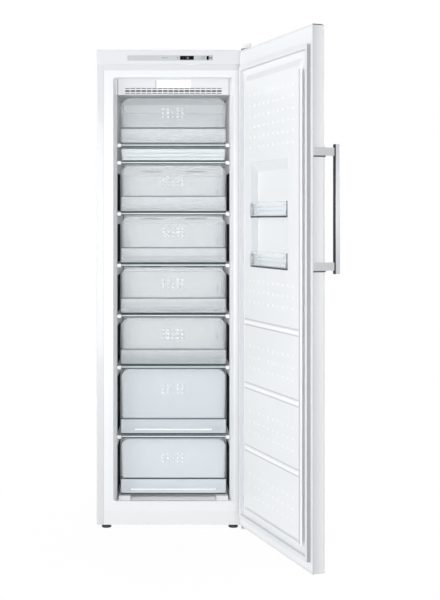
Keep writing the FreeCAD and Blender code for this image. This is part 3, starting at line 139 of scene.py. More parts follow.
def finish(name, colour, roughness, grain, depth, shade=0.97, stretch=(1, 1, 1), metallic=0.0, coat=0.0,
           dark=None, specular=0.5):
    """A surface with a fine grain in its relief and gloss, and a slow drift in its colour. Where a piece has
    an edge tone, its colour goes over to the dark one: painted shade, painted dark reflection and painted
    dark edge lines."""
    made, shader = material(name)
    tree = made.node_tree
    drift = object_noise(tree, DRIFT_SCALE, DRIFT_DETAIL)
    fine = object_noise(tree, grain, GRAIN_DETAIL, stretch)
    base = tint(tree, drift, tuple(shade * part for part in colour), colour)
    if dark is not None:
        base = tint(tree, attribute(tree, "edge"), base, dark)
    tree.links.new(base, shader.inputs["Base Color"])
    gloss = span(tree, fine, roughness * (1 - GLOSS_SPREAD), roughness * (1 + GLOSS_SPREAD))
    tree.links.new(gloss, shader.inputs["Roughness"])
    bump = node(tree, "ShaderNodeBump")
    bump.inputs["Distance"].default_value = depth
    tree.links.new(fine, bump.inputs["Height"])
    tree.links.new(bump.outputs["Normal"], shader.inputs["Normal"])
    shader.inputs["Metallic"].default_value = metallic
    shader.inputs["Coat Weight"].default_value = coat
    shader.inputs["Specular IOR Level"].default_value = specular
    return made


def cover_seen(tree, alpha, grazing):
    """How much a clear skin hides: its alpha, more where it turns away, and its haze and edge tones."""
    turned = node(tree, "ShaderNodeLayerWeight")
    turned.inputs["Blend"].default_value = FACING_BLEND
    steep = arithmetic(tree, "POWER", turned.outputs["Facing"], GRAZING_POWER)
    skin = arithmetic(tree, "ADD", arithmetic(tree, "MULTIPLY", steep, grazing), alpha)
    misty = arithmetic(tree, "ADD", skin, attribute(tree, "haze"))
    return arithmetic(tree, "ADD", misty, arithmetic(tree, "MULTIPLY", attribute(tree, "edge"), EDGE_COVER))


def see_through(name, colour, dark, alpha, roughness, grazing):
    """Clear plastic or glass: a glossy skin that mostly lets what is behind it show, denser where it turns
    away and along its painted dark edges. It lets light through to what it holds, except through its walls."""
    made = finish(name, colour, roughness, SMOOTH_GRAIN, POLISH_DEPTH, dark=dark)
    tree = made.node_tree
    rays = node(tree, "ShaderNodeLightPath")
    lit = arithmetic(tree, "MAXIMUM", rays.outputs["Is Shadow Ray"], rays.outputs["Is Diffuse Ray"])
    kept = arithmetic(tree, "SUBTRACT", 1.0, arithmetic(tree, "MULTIPLY", lit, LIGHT_PASSED))
    blocked = arithmetic(tree, "MULTIPLY", lit, attribute(tree, "wall"))
    seen = arithmetic(tree, "MULTIPLY", cover_seen(tree, alpha, grazing), kept)
    whole = arithmetic(tree, "MINIMUM", arithmetic(tree, "MAXIMUM", seen, blocked), 1.0)
    tree.links.new(whole, tree.nodes["Principled BSDF"].inputs["Alpha"])
    return made


def lit_from_within(name, colour, strength):
    """A surface that also gives off a little light."""
    made = finish(name, colour, LENS_ROUGHNESS, LENS_GRAIN, POLISH_DEPTH)
    shader = made.node_tree.nodes["Principled BSDF"]
    shader.inputs["Emission Color"].default_value = (*colour, 1)
    shader.inputs["Emission Strength"].default_value = strength
    return made


# ---------------------------------------------------------------- materials
# Each finish is given by its name, colour, roughness, and its grain's fineness and depth in metres.
# EDGE_DARK paints the dark lines that refraction and shade give along the clear plastic's edges, rims, folds
# and ribs.
EDGE_DARK = (0.045, 0.06, 0.07)
GLASS_DARK = (0.06, 0.09, 0.095)
BAND_SHADE = (0.42, 0.45, 0.49)
SEAL_FOLD_SHADE = (0.64, 0.65, 0.67)
HANDLE_REFLECTION_DARK = (0.05, 0.05, 0.055)
BRUSHED_UPRIGHT = (1, 1, 0.02)

white_lacquer = finish("white_lacquer", (0.70, 0.705, 0.715), 0.32, 900.0, 0.00004, coat=0.3)
# The same white paint as the casing, made lighter for the door's skin and the base pan: painted light.
lit_lacquer = finish("lit_lacquer", (0.82, 0.825, 0.835), 0.32, 900.0, 0.00004, coat=0.3)
shaded_edge_band = finish("shaded_edge_band", (0.82, 0.825, 0.835), 0.32, 900.0, 0.00004, coat=0.3, dark=BAND_SHADE)
moulded_white = finish("moulded_white", (0.76, 0.77, 0.78), 0.38, 1500.0, 0.00003)
formed_liner = finish("formed_liner", (0.84, 0.855, 0.87), 0.30, 260.0, 0.00005)
bump_white = finish("bump_white", (0.90, 0.91, 0.92), 0.3, 260.0, 0.00003)
# An extra-light white that paints light: highlights, and light on parts that lie in shade.
painted_light_white = finish("painted_light_white", (0.96, 0.965, 0.97), 0.3, 260.0, 0.00003)
seam_and_shade_grey = finish("seam_and_shade_grey", (0.60, 0.61, 0.63), 0.5, 260.0, 0.00005)
niche_shade_grey = finish("niche_shade_grey", (0.55, 0.58, 0.60), 0.4, 500.0, 0.00002)
back_sheet = finish("back_sheet", (0.50, 0.51, 0.52), 0.45, 40.0, 0.00003, 0.9, metallic=0.6)
rigid_foam = finish("rigid_foam", (0.80, 0.72, 0.45), 0.8, 400.0, 0.0002, 0.9)
strip_silver = finish("strip_silver", (0.56, 0.57, 0.58), 0.4, 900.0, 0.00002)
black_window_and_shade = finish("black_window_and_shade", (0.002, 0.002, 0.003), 0.4, 200.0, 0.00001, specular=0.03)
digit_grey = finish("digit_grey", (0.50, 0.52, 0.54), 0.3, 400.0, 0.00001)
mark_and_shade_grey = finish("mark_and_shade_grey", (0.10, 0.11, 0.12), 0.4, 400.0, 0.00001, specular=0.1)
painted_shade_black = finish("painted_shade_black", (0.006, 0.007, 0.008), 0.6, 500.0, 0.00002, specular=0.05)
grille_shade_grey = finish("grille_shade_grey", (0.17, 0.18, 0.19), 0.5, 400.0, 0.00002)
board_green = finish("board_green", (0.03, 0.20, 0.08), 0.5, 500.0, 0.00003)
lamp_white = lit_from_within("lamp_white", (0.96, 0.98, 1.0), 0.8)
shelf_glass = see_through("shelf_glass", (0.78, 0.88, 0.86), GLASS_DARK, 0.14, 0.08, 0.5)
clear_plastic = see_through("clear_plastic", (0.84, 0.90, 0.94), EDGE_DARK, 0.15, 0.08, 0.5)
trim_clear = finish("trim_clear", (0.76, 0.83, 0.84), 0.3, 300.0, 0.00002, dark=GLASS_DARK, specular=0.2)
frosted_dot = finish("frosted_dot", (0.92, 0.93, 0.94), 0.35, 500.0, 0.00002)
clip_grey = finish("clip_grey", (0.34, 0.36, 0.38), 0.3, 500.0, 0.00002)
satin_aluminium = finish("satin_aluminium", (0.57, 0.58, 0.60), 0.38, 400.0, 0.00002, 0.95,
                         BRUSHED_UPRIGHT, 0.75, dark=HANDLE_REFLECTION_DARK)
bracket_grey = finish("bracket_grey", (0.56, 0.57, 0.58), 0.40, 1200.0, 0.00003)
seal_white = finish("seal_white", (0.78, 0.79, 0.82), 0.60, 700.0, 0.00004, dark=SEAL_FOLD_SHADE)
seal_grey = finish("seal_grey", (0.38, 0.385, 0.40), 0.60, 700.0, 0.00004)
black_plastic = finish("black_plastic", (0.02, 0.02, 0.022), 0.40, 900.0, 0.00004)
black_enamel = finish("black_enamel", (0.02, 0.02, 0.02), 0.30, 300.0, 0.00004)
zinc_steel = finish("zinc_steel", (0.62, 0.63, 0.64), 0.35, 120.0, 0.00002, 0.85, metallic=1.0)
copper = finish("copper", (0.72, 0.38, 0.24), 0.35, 90.0, 0.00002, 0.80, metallic=1.0)
mount_rubber = finish("mount_rubber", (0.03, 0.03, 0.03), 0.75, 900.0, 0.00006)
nylon = finish("nylon", (0.75, 0.75, 0.72), 0.50, 600.0, 0.00003)
fin_aluminium = finish("fin_aluminium", (0.80, 0.81, 0.82), 0.35, 200.0, 0.00002, 0.9, metallic=1.0)

SHELVES = [f"glass_shelf_{number}" for number in range(1, 8)]
DRAWERS = [f"drawer_{number}" for number in (1, 3, 4, 5, 6, 7, 8)]
FINISHES = {
    white_lacquer: ("outer_casing", "lower_hinge"),
    # The hinge cover and the upper hinge take the extra-light white: painted light over their shaded
    # underside.
    painted_light_white: ("hinge_cover", "upper_hinge"),
    lit_lacquer: ("door_outer_skin", "base_pan"),
    moulded_white: ("control_panel", "door_end_caps", "fan_cover", "rear_duct_panel", "floor_rails"),
    formed_liner: ("inner_liner", "door_inner_panel"),
    back_sheet: ("rear_panel",),
    rigid_foam: ("insulation_foam", "door_foam"),
    strip_silver: ("control_strip", "button_left", "button_right"),
    black_window_and_shade: ("display_windows",),
    board_green: ("control_board",),
    lamp_white: ("lamp_lens",),
    shelf_glass: SHELVES,
    clear_plastic: (*DRAWERS, "tray_2", "upper_door_bin", "lower_door_bin"),
    trim_clear: ("shelf_trims",),
    satin_aluminium: ("handle_bar",),
    bracket_grey: ("handle_brackets", "handle_screws"),
    seal_white: ("door_gasket",),
    black_plastic: ("foot_left", "foot_right", "fan_rotor", "fan_motor", "drip_tray", "cable_gland"),
    black_enamel: ("compressor", "condenser_tube", "condenser_wires"),
    zinc_steel: ("hinge_screws",),
    copper: ("refrigerant_pipes",),
    mount_rubber: ("compressor_mounts",),
    nylon: ("roller_left", "roller_right", "door_hinge_bushes"),
    fin_aluminium: ("evaporator",),
}


def coat_solids():
    """Gives each of the frame's solids its finish."""
    for coating, names in FINISHES.items():
        for name in names:
            mesh = nodes[name].data
            mesh.materials.clear()
            mesh.materials.append(coating)


# ---------------------------------------------------------------- making surfaces
SHARP_ANGLE = math.radians(38)
DOME_POINTS = 12
DOME_RINGS = 4
DOME_CLIMB = 0.46 * math.pi


def grid_faces(rows, columns, first=0, last_joins_first=False):
    """Quads between neighbouring rows of a grid whose columns close on themselves, as indices."""
    bands = rows if last_joins_first else rows - 1
    row, column = np.meshgrid(np.arange(bands), np.arange(columns), indexing="ij")
    following = (column + 1) % columns
    below = first + row * columns
    above = first + ((row + 1) % rows) * columns
    quads = np.stack([below + column, below + following, above + following, above + column], -1)
    return quads.reshape(-1, 4).tolist()


def closed_grid(rows, columns, first=0):
    """Faces of a closed skin: quads between the rows, and one flat face over the first and the last row."""
    faces = grid_faces(rows, columns, first)
    ring = np.arange(columns)
    faces.append((first + ring[::-1]).tolist())
    faces.append((first + (rows - 1) * columns + ring).tolist())
    return faces


def piece(name, points, faces, body, coating, stands_for=(), tones=None):
    """A mesh at the origin from points in metres, with numbers at its points that its coating reads."""
    mesh = bpy.data.meshes.new(name)
    mesh.from_pydata(np.asarray(points).reshape(-1, 3).tolist(), [], faces)
    mesh.materials.append(coating)
    mesh.polygons.foreach_set("use_smooth", [True] * len(mesh.polygons))
    mesh.set_sharp_from_angle(angle=SHARP_ANGLE)
    for key, values in (tones or {}).items():
        layer = mesh.attributes.new(key, "FLOAT", "POINT")
        layer.data.foreach_set("value", np.asarray(values, np.float32).ravel())
    made = bpy.data.objects.new(name, mesh)
    bpy.context.scene.collection.objects.link(made)
    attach(made, body)
    if stands_for:
        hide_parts(*stands_for)


def smooth_step(value, start, end):
    """0 before the start, 1 after the end, and a cubic ease between."""
    share = np.clip((value - start) / (end - start), 0, 1)
    return share * share * (3 - 2 * share)


def profile_ring(corners, radius, steps=4):
    """A closed outline through corners, anticlockwise. At each, a parabola that starts and ends this
    radius away from the corner takes its place."""
    points = []
    count = len(corners)
    corners = np.asarray(corners, float)
    share = np.linspace(0, 1, steps)[:, None]
    for index in range(count):
        back = corners[index - 1] - corners[index]
        ahead = corners[(index + 1) % count] - corners[index]
        start = corners[index] + radius * back / np.linalg.norm(back)
        end = corners[index] + radius * ahead / np.linalg.norm(ahead)
        points.append((1 - share) ** 2 * start + 2 * share * (1 - share) * corners[index] + share ** 2 * end)
    return np.concatenate(points)


def upright(across, out, up):
    """Points given across, out towards the viewer in front, and up."""
    return np.stack(np.broadcast_arrays(across, -np.asarray(out), up), -1)


def blocks(name, boxes, place, body, coating):
    """Small blocks, each given as its low and high value across, out and up. A block is a ring of four
    corners at its back and one at its front."""
    spans = np.asarray(boxes, float)
    turn = np.array([0, 1, 1, 0])
    rise = np.array([0, 0, 1, 1])
    across = np.stack([spans[:, 0, turn]] * 2, 1)
    up = np.stack([spans[:, 2, rise]] * 2, 1)
    out = np.repeat(spans[:, 1, :, None], 4, 2)
    faces = []
    for index in range(len(spans)):
        faces += closed_grid(2, 4, 8 * index)
    piece(name, place(across, out, up), faces, body, coating)


def domes(name, centres, radius, height, place, body, coating):
    """Low closed domes at centres given across and up: the radius shrinks as a cosine while the height
    grows as a sine of the climb."""
    turn = np.linspace(0, 2 * np.pi, DOME_POINTS, endpoint=False)
    climb = np.linspace(0, DOME_CLIMB, DOME_RINGS)[:, None]
    across = radius * np.cos(climb) * np.cos(turn)
    up = radius * np.cos(climb) * np.sin(turn)
    out = np.broadcast_to(height * np.sin(climb), across.shape)
    centres = np.asarray(centres)[:, :, None, None]
    points = place(centres[:, 0] + across, out, centres[:, 1] + up)
    faces = []
    for index in range(len(centres)):
        faces += closed_grid(*across.shape, index * across.size)
    piece(name, points, faces, body, coating)


# ---------------------------------------------------------------- the open door's own measures
hinge = next(joint for joint in frame["joints"] if joint["name"] == "door_hinge")
HINGE_X, HINGE_Y = hinge["pos_m"][:2]
OPEN_ANGLE = math.radians(-hinge["range_deg"][0])
CASING_LOW, CASING_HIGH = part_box("outer_casing")
DOOR_WIDTH = CASING_HIGH.x - CASING_LOW.x
DOOR_NEAR = 14 * MM
PLUG_FACE = 2 * MM


def on_door(across, out, up):
    """Points given across the door from its hinge side, out from the cabinet's front, and up: each is
    turned about the hinge line by the angle that the door stands open."""
    x = CASING_HIGH.x - across - HINGE_X
    y = -out - HINGE_Y
    turned_x = HINGE_X + x * math.cos(OPEN_ANGLE) - y * math.sin(OPEN_ANGLE)
    turned_y = HINGE_Y + x * math.sin(OPEN_ANGLE) + y * math.cos(OPEN_ANGLE)
    return np.stack(np.broadcast_arrays(turned_x, turned_y, up), -1)


def door_inside(across, towards, up):
    """Points on the door given across, towards the compartment from the door's near face, and up."""
    return on_door(across, DOOR_NEAR - towards, up)


def edge_face(across, out, up):
    """Points on the door's free edge: along its thickness, out from the edge, and up."""
    return on_door(DOOR_WIDTH + np.asarray(out), np.asarray(across), up)


# ---------------------------------------------------------------- closed skins round a plan
ARC_POINTS = 9
RUN_POINTS = 12
SIDE_STATIONS = np.array([0.0, 0.3, 0.65])


def plan_ring(front, rear, half, side, rear_half, corner, rear_corner, fade_start, fade_end):
    """Once round a drawer's plan, anticlockwise from the middle of the front. The right half is a straight
    front, a quarter arc, a side that eases from the front's half width to the side wall's line, a quarter
    arc and a straight back; the left half is its mirror image."""
    turn = np.linspace(0, np.pi / 2, ARC_POINTS)
    side_y = np.append(fade_start, fade_end + SIDE_STATIONS * (rear - fade_end))
    side_x = side + (rear_half - side) * (side_y - front) / (rear - front)
    side_x[0] += half - side
    x = np.concatenate([
        np.linspace(0, half - corner, RUN_POINTS, endpoint=False),
        half - corner + corner * np.sin(turn),
        side_x,
        rear_half - rear_corner + rear_corner * np.cos(turn),
        np.linspace(rear_half - rear_corner, 0, RUN_POINTS + 1)[1:],
    ])
    y = np.concatenate([
        np.full(RUN_POINTS, front),
        front + corner - corner * np.cos(turn),
        side_y,
        rear - rear_corner + rear_corner * np.sin(turn),
        np.full(RUN_POINTS, rear),
    ])
    return np.concatenate([x, -x[-2:0:-1]]), np.concatenate([y, y[-2:0:-1]])


def both_halves(*runs):
    """A value for each point of a plan ring, from runs of (count, value) over its right half."""
    right = np.concatenate([np.full(count, float(value)) for count, value in runs])
    return np.concatenate([right, right[-2:0:-1]])


FRONT_POINTS = RUN_POINTS + ARC_POINTS
REAR_POINTS = SIDE_STATIONS.size + ARC_POINTS
FRONT_ZONE = both_halves((FRONT_POINTS + 1, 1), (REAR_POINTS + RUN_POINTS, 0))
WALL_ZONE = both_halves((FRONT_POINTS - 1, 0), (REAR_POINTS, 1), (RUN_POINTS + 2, 0))
STREAK_ZONE = both_halves((FRONT_POINTS + 1 + REAR_POINTS - 2, 0), (2, 1), (RUN_POINTS, 0))


class Skin:
    """A skin in rows of points round a plan, each with a tone that says how dark an edge it is: painted dark
    lines of refraction and shade along the clear plastic's edges, rims, folds and ribs.
    """

    def __init__(self):
        self.rows = []
        self.edges = []

    def add(self, x, y, z, tone):
        """Adds a row of points at these places, with their tone."""
        self.rows.append(np.stack(np.broadcast_arrays(x, y, z), -1))
        self.edges.append(np.broadcast_to(tone, x.shape))

    def make(self, node_name, body, haze=0.0, wall=0.0, place=None):
        """The mesh that stands for this node, closed at its first and last row. Its front is misty by the
        haze, and its sides keep out light by the wall."""
        points = np.array(self.rows)
        if place is not None:
            points = place(points[..., 0], points[..., 1], points[..., 2])
        shape = points.shape[:2]
        tones = {"edge": np.array(self.edges), "wall": np.broadcast_to(wall * WALL_ZONE, shape),
                 "haze": np.broadcast_to(haze * FRONT_ZONE, shape)}
        piece(node_name + "_moulding", points, closed_grid(*shape), body, clear_plastic,
              (node_name,), tones)


# ---------------------------------------------------------------- drawers
WALL = 2.5 * MM
SOFT_EDGE = 0.8 * MM
UNDERSIDE_INSET = 3 * MM
LIP_HEIGHT = 64 * MM
LIP_STEP = 10 * MM
LIP_CORNER = 7 * MM
LIP_INSET = 0.5 * MM
LIP_BACK = 34 * MM
LIP_FADE = 10 * MM
LEDGE_BACK = 8.5 * MM
LEDGE_CORNER = 11 * MM
PANE_CORNER = 12 * MM
REAR_CORNER = 12 * MM
RIM_FALL = 20 * MM
REAR_DROP = 27 * MM
SIDE_DRAFT = 6 * MM
FOOT_LINE = 5.5 * MM
FOOT_CLEAR = 7 * MM
RIM_LINE = 4.2 * MM
RIM_CLEAR = 5.4 * MM
RIM_ROUNDING = 0.6 * MM
LINE_TONE = 1.0
TURNED_TONE = 0.8
FAINT_TONE = 0.1
FOLD_TONE = 0.2
RIM_TONES = (0.45, 0.3)
REAR_STREAK = 0.35
PAD_SIDE, PAD_FRONT, PAD_REAR, PAD_CORNER = mm(54, 70, 50, 12)
PAD_FADE = mm(95, 105)
PAD_SLOPE, PAD_RISE = mm(4, 3)


class DrawerSkin(Skin):
    """A drawer's closed skin as rows round its plan: up the outside over the lip, the ledge and the pane,
    over the rim, and down the inside to the raised middle of the floor."""

    lip = (0.0, LIP_CORNER)
    pane = (LIP_STEP, PANE_CORNER)

    def __init__(self, low, high):
        super().__init__()
        self.low = low
        self.high = high
        self.height = high.z - low.z
        self.go_up_lip()
        self.go_over_rim()
        self.go_down_inside()
        self.raise_floor()

    def ring(self, z, set_back, corner, inward, wall_in, on_lip):
        """The plan at a height: its front stands back from the lip's, and its sides are drafted."""
        low, high = self.low, self.high
        half = high.x - SIDE_DRAFT * (1 - z / self.height) - wall_in
        lip_half = high.x - LIP_INSET - inward
        return plan_ring(low.y + set_back + inward, high.y - wall_in, half + (lip_half - half) * on_lip,
                         half, half - SIDE_DRAFT, corner - inward, REAR_CORNER - wall_in,
                         low.y + LIP_BACK, low.y + LIP_BACK + LIP_FADE)

    def level(self, z, front, inward, wall_in, on_lip, tone):
        """A row at this height. Its front is given as how far it stands back and its corner's radius."""
        x, y = self.ring(z, *front, inward, wall_in, on_lip)
        above_lip = REAR_STREAK * STREAK_ZONE * (z > LIP_HEIGHT)
        self.add(x, y, self.low.z + z, np.maximum(tone * FRONT_ZONE, above_lip))

    def rim(self, down, inward, tone, elsewhere):
        """A row this far below the rim, which falls across the front arcs to the lower sides and back."""
        x, y = self.ring(self.height - down, *self.pane, inward, inward, 0.0)
        fall = np.clip((np.abs(x) - (self.high.x - RIM_FALL)) / RIM_FALL, 0, 1)
        fall = np.where(FRONT_ZONE > 0, fall, 1.0)
        self.add(x, y, self.high.z - down - REAR_DROP * fall, np.where(FRONT_ZONE > 0, tone, elsewhere))

    def go_up_lip(self):
        """Up the lip from the underside, with a painted dark line along its foot and its top, and on to the
        pane.
        """
        ledge = (LEDGE_BACK, LEDGE_CORNER)
        self.level(0.0, self.lip, UNDERSIDE_INSET, UNDERSIDE_INSET, 1, TURNED_TONE)
        self.level(1 * MM, self.lip, SOFT_EDGE, SOFT_EDGE, 1, LINE_TONE)
        self.level(FOOT_LINE, self.lip, 0, 0, 1, LINE_TONE)
        self.level(FOOT_CLEAR, self.lip, 0, 0, 1, FAINT_TONE)
        self.level(LIP_HEIGHT - RIM_CLEAR, self.lip, 0, 0, 1, 0.0)
        self.level(LIP_HEIGHT - RIM_LINE, self.lip, 0, 0, 1, LINE_TONE)
        self.level(LIP_HEIGHT - 1 * MM, self.lip, 0.2 * MM, 0, 1, LINE_TONE)
        self.level(LIP_HEIGHT, self.lip, 1.5 * MM, 0, 1, TURNED_TONE)
        self.level(LIP_HEIGHT + 0.1 * MM, ledge, 0, 0, 0.1, FAINT_TONE)
        self.level(LIP_HEIGHT + 1.5 * MM, self.pane, 0, 0, 0, 0.0)

    def go_over_rim(self):
        """Up to the rim, round its two soft edges and down its inner side, with a painted grey line along
        it.
        """
        self.rim(RIM_CLEAR, 0, 0.0, 0.0)
        self.rim(RIM_LINE, 0, *RIM_TONES)
        self.rim(RIM_ROUNDING, 0.1 * MM, *RIM_TONES)
        self.rim(0.0, SOFT_EDGE, *RIM_TONES)
        self.rim(0.0, WALL - SOFT_EDGE, *RIM_TONES)
        self.rim(RIM_ROUNDING, WALL, *RIM_TONES)
        self.rim(RIM_CLEAR, WALL, 0.0, 0.0)

    def go_down_inside(self):
        """Down behind the pane, out into the lip, and down to the floor."""
        under_ledge = (1 * MM, LIP_CORNER + 1 * MM)
        self.level(LIP_HEIGHT - 2 * MM, self.pane, WALL, WALL, 0, 0.0)
        self.level(LIP_HEIGHT - 3 * MM, under_ledge, WALL, WALL, 0.9, FAINT_TONE)
        self.level(LIP_HEIGHT - 4 * MM, self.lip, WALL, WALL, 1, FOLD_TONE)
        self.level(6 * MM, self.lip, WALL, WALL, 1, 0.0)
        self.level(3.2 * MM, self.lip, WALL + 1 * MM, WALL + 1 * MM, 1, FOLD_TONE)
        self.level(WALL, self.lip, WALL + 4 * MM, WALL + 4 * MM, 1, 0.0)

    def raise_floor(self):
        """In over the floor and up to its raised middle."""
        for inset, rise, tone in ((0.0, 0.0, FAINT_TONE), (PAD_SLOPE, PAD_RISE, FOLD_TONE)):
            half = self.high.x - PAD_SIDE - inset
            x, y = plan_ring(self.low.y + PAD_FRONT + inset, self.high.y - PAD_REAR - inset, half, half,
                             half, PAD_CORNER, PAD_CORNER, self.low.y + PAD_FADE[0],
                             self.low.y + PAD_FADE[1])
            self.add(x, y, self.low.z + WALL + rise, tone)


TRAY_RIBS = mm(14, 30)
RIB_SINK, RIB_SLOPE, RIB_FLAT = mm(1, 1, 2.5)
RIB_TONE = 0.5
TRAY_RIM_TONE = 0.7
TRAY_FOOT_LINE, TRAY_FOOT_CLEAR = mm(3.5, 5)
TRAY_RIM_LINE, TRAY_RIM_CLEAR = mm(3.2, 4.2)


def tray_skin(low, high):
    """The shallow tray's closed skin: two ribs across its front, a plain rim, and a flat floor."""
    skin = Skin()
    height = high.z - low.z

    def level(z, inward, tone, wall_in=None):
        wall_in = inward if wall_in is None else wall_in
        half = high.x - SIDE_DRAFT * (1 - z / height) - wall_in
        x, y = plan_ring(low.y + inward, high.y - wall_in, half, half, half - SIDE_DRAFT,
                         LIP_CORNER - inward, LIP_CORNER - wall_in,
                         low.y + LIP_BACK, low.y + LIP_BACK + LIP_FADE)
        skin.add(x, y, low.z + z, np.maximum(tone * FRONT_ZONE, REAR_STREAK * STREAK_ZONE))

    level(0.0, UNDERSIDE_INSET, TURNED_TONE)
    level(1 * MM, SOFT_EDGE, LINE_TONE)
    level(TRAY_FOOT_LINE, 0.0, LINE_TONE)
    level(TRAY_FOOT_CLEAR, 0.0, FAINT_TONE)
    for rib in TRAY_RIBS:
        level(rib, 0.0, 0.0)
        level(rib + RIB_SLOPE, RIB_SINK, RIB_TONE, 0.0)
        level(rib + RIB_SLOPE + RIB_FLAT, RIB_SINK, RIB_TONE, 0.0)
        level(rib + 2 * RIB_SLOPE + RIB_FLAT, 0.0, 0.0)
    level(height - TRAY_RIM_CLEAR, 0.0, 0.0)
    level(height - TRAY_RIM_LINE, 0.0, TRAY_RIM_TONE)
    level(height - 0.5 * MM, 0.1 * MM, TRAY_RIM_TONE)
    level(height, SOFT_EDGE, TRAY_RIM_TONE)
    level(height, WALL - SOFT_EDGE, TRAY_RIM_TONE)
    level(height - 0.5 * MM, WALL, TRAY_RIM_TONE)
    level(height - TRAY_RIM_CLEAR, WALL, 0.0)
    level(4 * MM, WALL, 0.0)
    level(WALL, WALL + UNDERSIDE_INSET, 0.0)
    return skin


CLEAR_FRONT = 0.08
# Drawers 7 and 8 and the tray get a mistier front so that their fronts show lighter: painted light where
# more light falls on them.
LIT_MISTY_FRONTS = {"drawer_7": 0.30, "drawer_8": 0.36}
TRAY_LIT_MIST = 0.3
SIDES_BLOCK = 0.25
OPEN_SIDES = {"drawer_1": 0.0}


def make_drawers():
    """The seven drawers and the shallow tray."""
    for name in DRAWERS:
        haze = LIT_MISTY_FRONTS.get(name, CLEAR_FRONT)
        DrawerSkin(*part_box(name)).make(name, name, haze, OPEN_SIDES.get(name, SIDES_BLOCK))
    tray_skin(*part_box("tray_2")).make("tray_2", "tray_2", TRAY_LIT_MIST)


DOT_PITCH_ACROSS = 19 * MM
DOT_PITCH_UP = 15 * MM
DOT_RADIUS = 4.4 * MM
DOT_HEIGHT = 1.2 * MM
SMALL_DOT_RADIUS = 2.2 * MM
SMALL_DOT_HEIGHT = 0.72 * MM
DOT_COLUMNS = (-2, -1, 1, 2)
DOT_ROWS = (-1, 0, 1)
DOTS_MIDDLE = -2.5 * MM
DOTS_BELOW_RIM = 62.5 * MM
OTHER_DOTS_BELOW_RIM = {"drawer_1": 58 * MM, "drawer_7": 77 * MM, "drawer_8": 77 * MM}


def make_dots(name):
    """The raised dots on a drawer's pane: two blocks of large ones with two small ones between them."""
    low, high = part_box(name)
    middle = high.z - OTHER_DOTS_BELOW_RIM.get(name, DOTS_BELOW_RIM)

    def on_pane(across, out, up):
        return upright(across, out - low.y - LIP_STEP, up)

    large = [(DOTS_MIDDLE + column * DOT_PITCH_ACROSS, middle + row * DOT_PITCH_UP)
             for column in DOT_COLUMNS for row in DOT_ROWS]
    small = [(DOTS_MIDDLE, middle), (DOTS_MIDDLE, middle - DOT_PITCH_UP)]
    domes(name + "_dots", large, DOT_RADIUS, DOT_HEIGHT, on_pane, name, frosted_dot)
    domes(name + "_middle_dots", small, SMALL_DOT_RADIUS, SMALL_DOT_HEIGHT, on_pane, name, frosted_dot)


GRIP_HALVES = {"drawer_7": 151 * MM, "drawer_8": 166 * MM}
GRIP_LOW, GRIP_HIGH = mm(18, 23)


def make_grip_highlights():
    """A painted highlight along the grips of the two deep drawers, as a thin extra-light strip on the lip's
    face.
    """
    for name, half in GRIP_HALVES.items():
        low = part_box(name)[0]
        strip = ((-half, half), (-low.y, -low.y + 0.3 * MM), (low.z + GRIP_LOW, low.z + GRIP_HIGH))
        blocks(name + "_grip_highlight", [strip], upright, name, painted_light_white)


# ---------------------------------------------------------------- shelf trims
GLASS_THICKNESS = 4 * MM
TRIM_HEIGHT = 11.5 * MM
TRIM_WALL = 2.5 * MM
TRIM_LIP = 12 * MM
TRIM_ROUNDING = 0.6 * MM
TRIM_TONE_LINES = mm(2.9, 3.5, 6.9, 7.5)
TRIM_LIGHT_TOP, TRIM_LIGHT_FOOT = mm(3.2, 7.2)
TRIM_END = np.array([0.0, 0.3, 1.0]) * MM
TRIM_END_FULLNESS = np.array([0.0, 0.6, 1.0])
TRIM_END_SHRINK = 0.25 / 6


def trim_outline(front, top):
    """A trim's section: an upright bar in front of the glass with a lip under it, and points on its front
    where its tone changes."""
    back = front + TRIM_WALL
    foot = top - TRIM_HEIGHT
    under = top - GLASS_THICKNESS
    lip_foot = under - TRIM_WALL
    corners = [(front, foot), (back, foot), (back, lip_foot), (back + TRIM_LIP, lip_foot),
               (back + TRIM_LIP, under), (back, under), (back, top), (front, top)]
    lines = [(front, top - drop) for drop in TRIM_TONE_LINES]
    return np.concatenate([lines, profile_ring(corners, TRIM_ROUNDING)])


def make_trims():
    """The strips on the shelves' front edges, as one piece: each a section carried across and drawn in at
    its ends, light in the middle and dark along its top and bottom. The dark lines are partly the dark edge
    of the clear glass and plastic and partly painted shade under the trim."""
    low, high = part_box("shelf_trims")
    stations = np.concatenate([low.x + TRIM_END, high.x - TRIM_END[::-1]])
    fullness = np.concatenate([TRIM_END_FULLNESS, TRIM_END_FULLNESS[::-1]])
    shrink = 1 - (1 - fullness)[:, None, None] * TRIM_END_SHRINK
    points = []
    tones = []
    faces = []
    for shelf in SHELVES:
        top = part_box(shelf)[1].z
        outline = trim_outline(low.y, top)
        middle = outline.mean(0)
        rings = middle + (outline - middle) * shrink
        height = rings[..., 1]
        x = np.broadcast_to(stations[:, None], height.shape)
        light = (height > top - TRIM_LIGHT_FOOT) & (height < top - TRIM_LIGHT_TOP)
        faces += closed_grid(*height.shape, height.size * len(points))
        points.append(np.stack([x, rings[..., 0], height], -1))
        tones.append(np.where(light, 0.0, 1.0))
    piece("shelf_trim_strips", np.array(points), faces, "cabinet", trim_clear,
          ("shelf_trims",), {"edge": np.array(tones)})


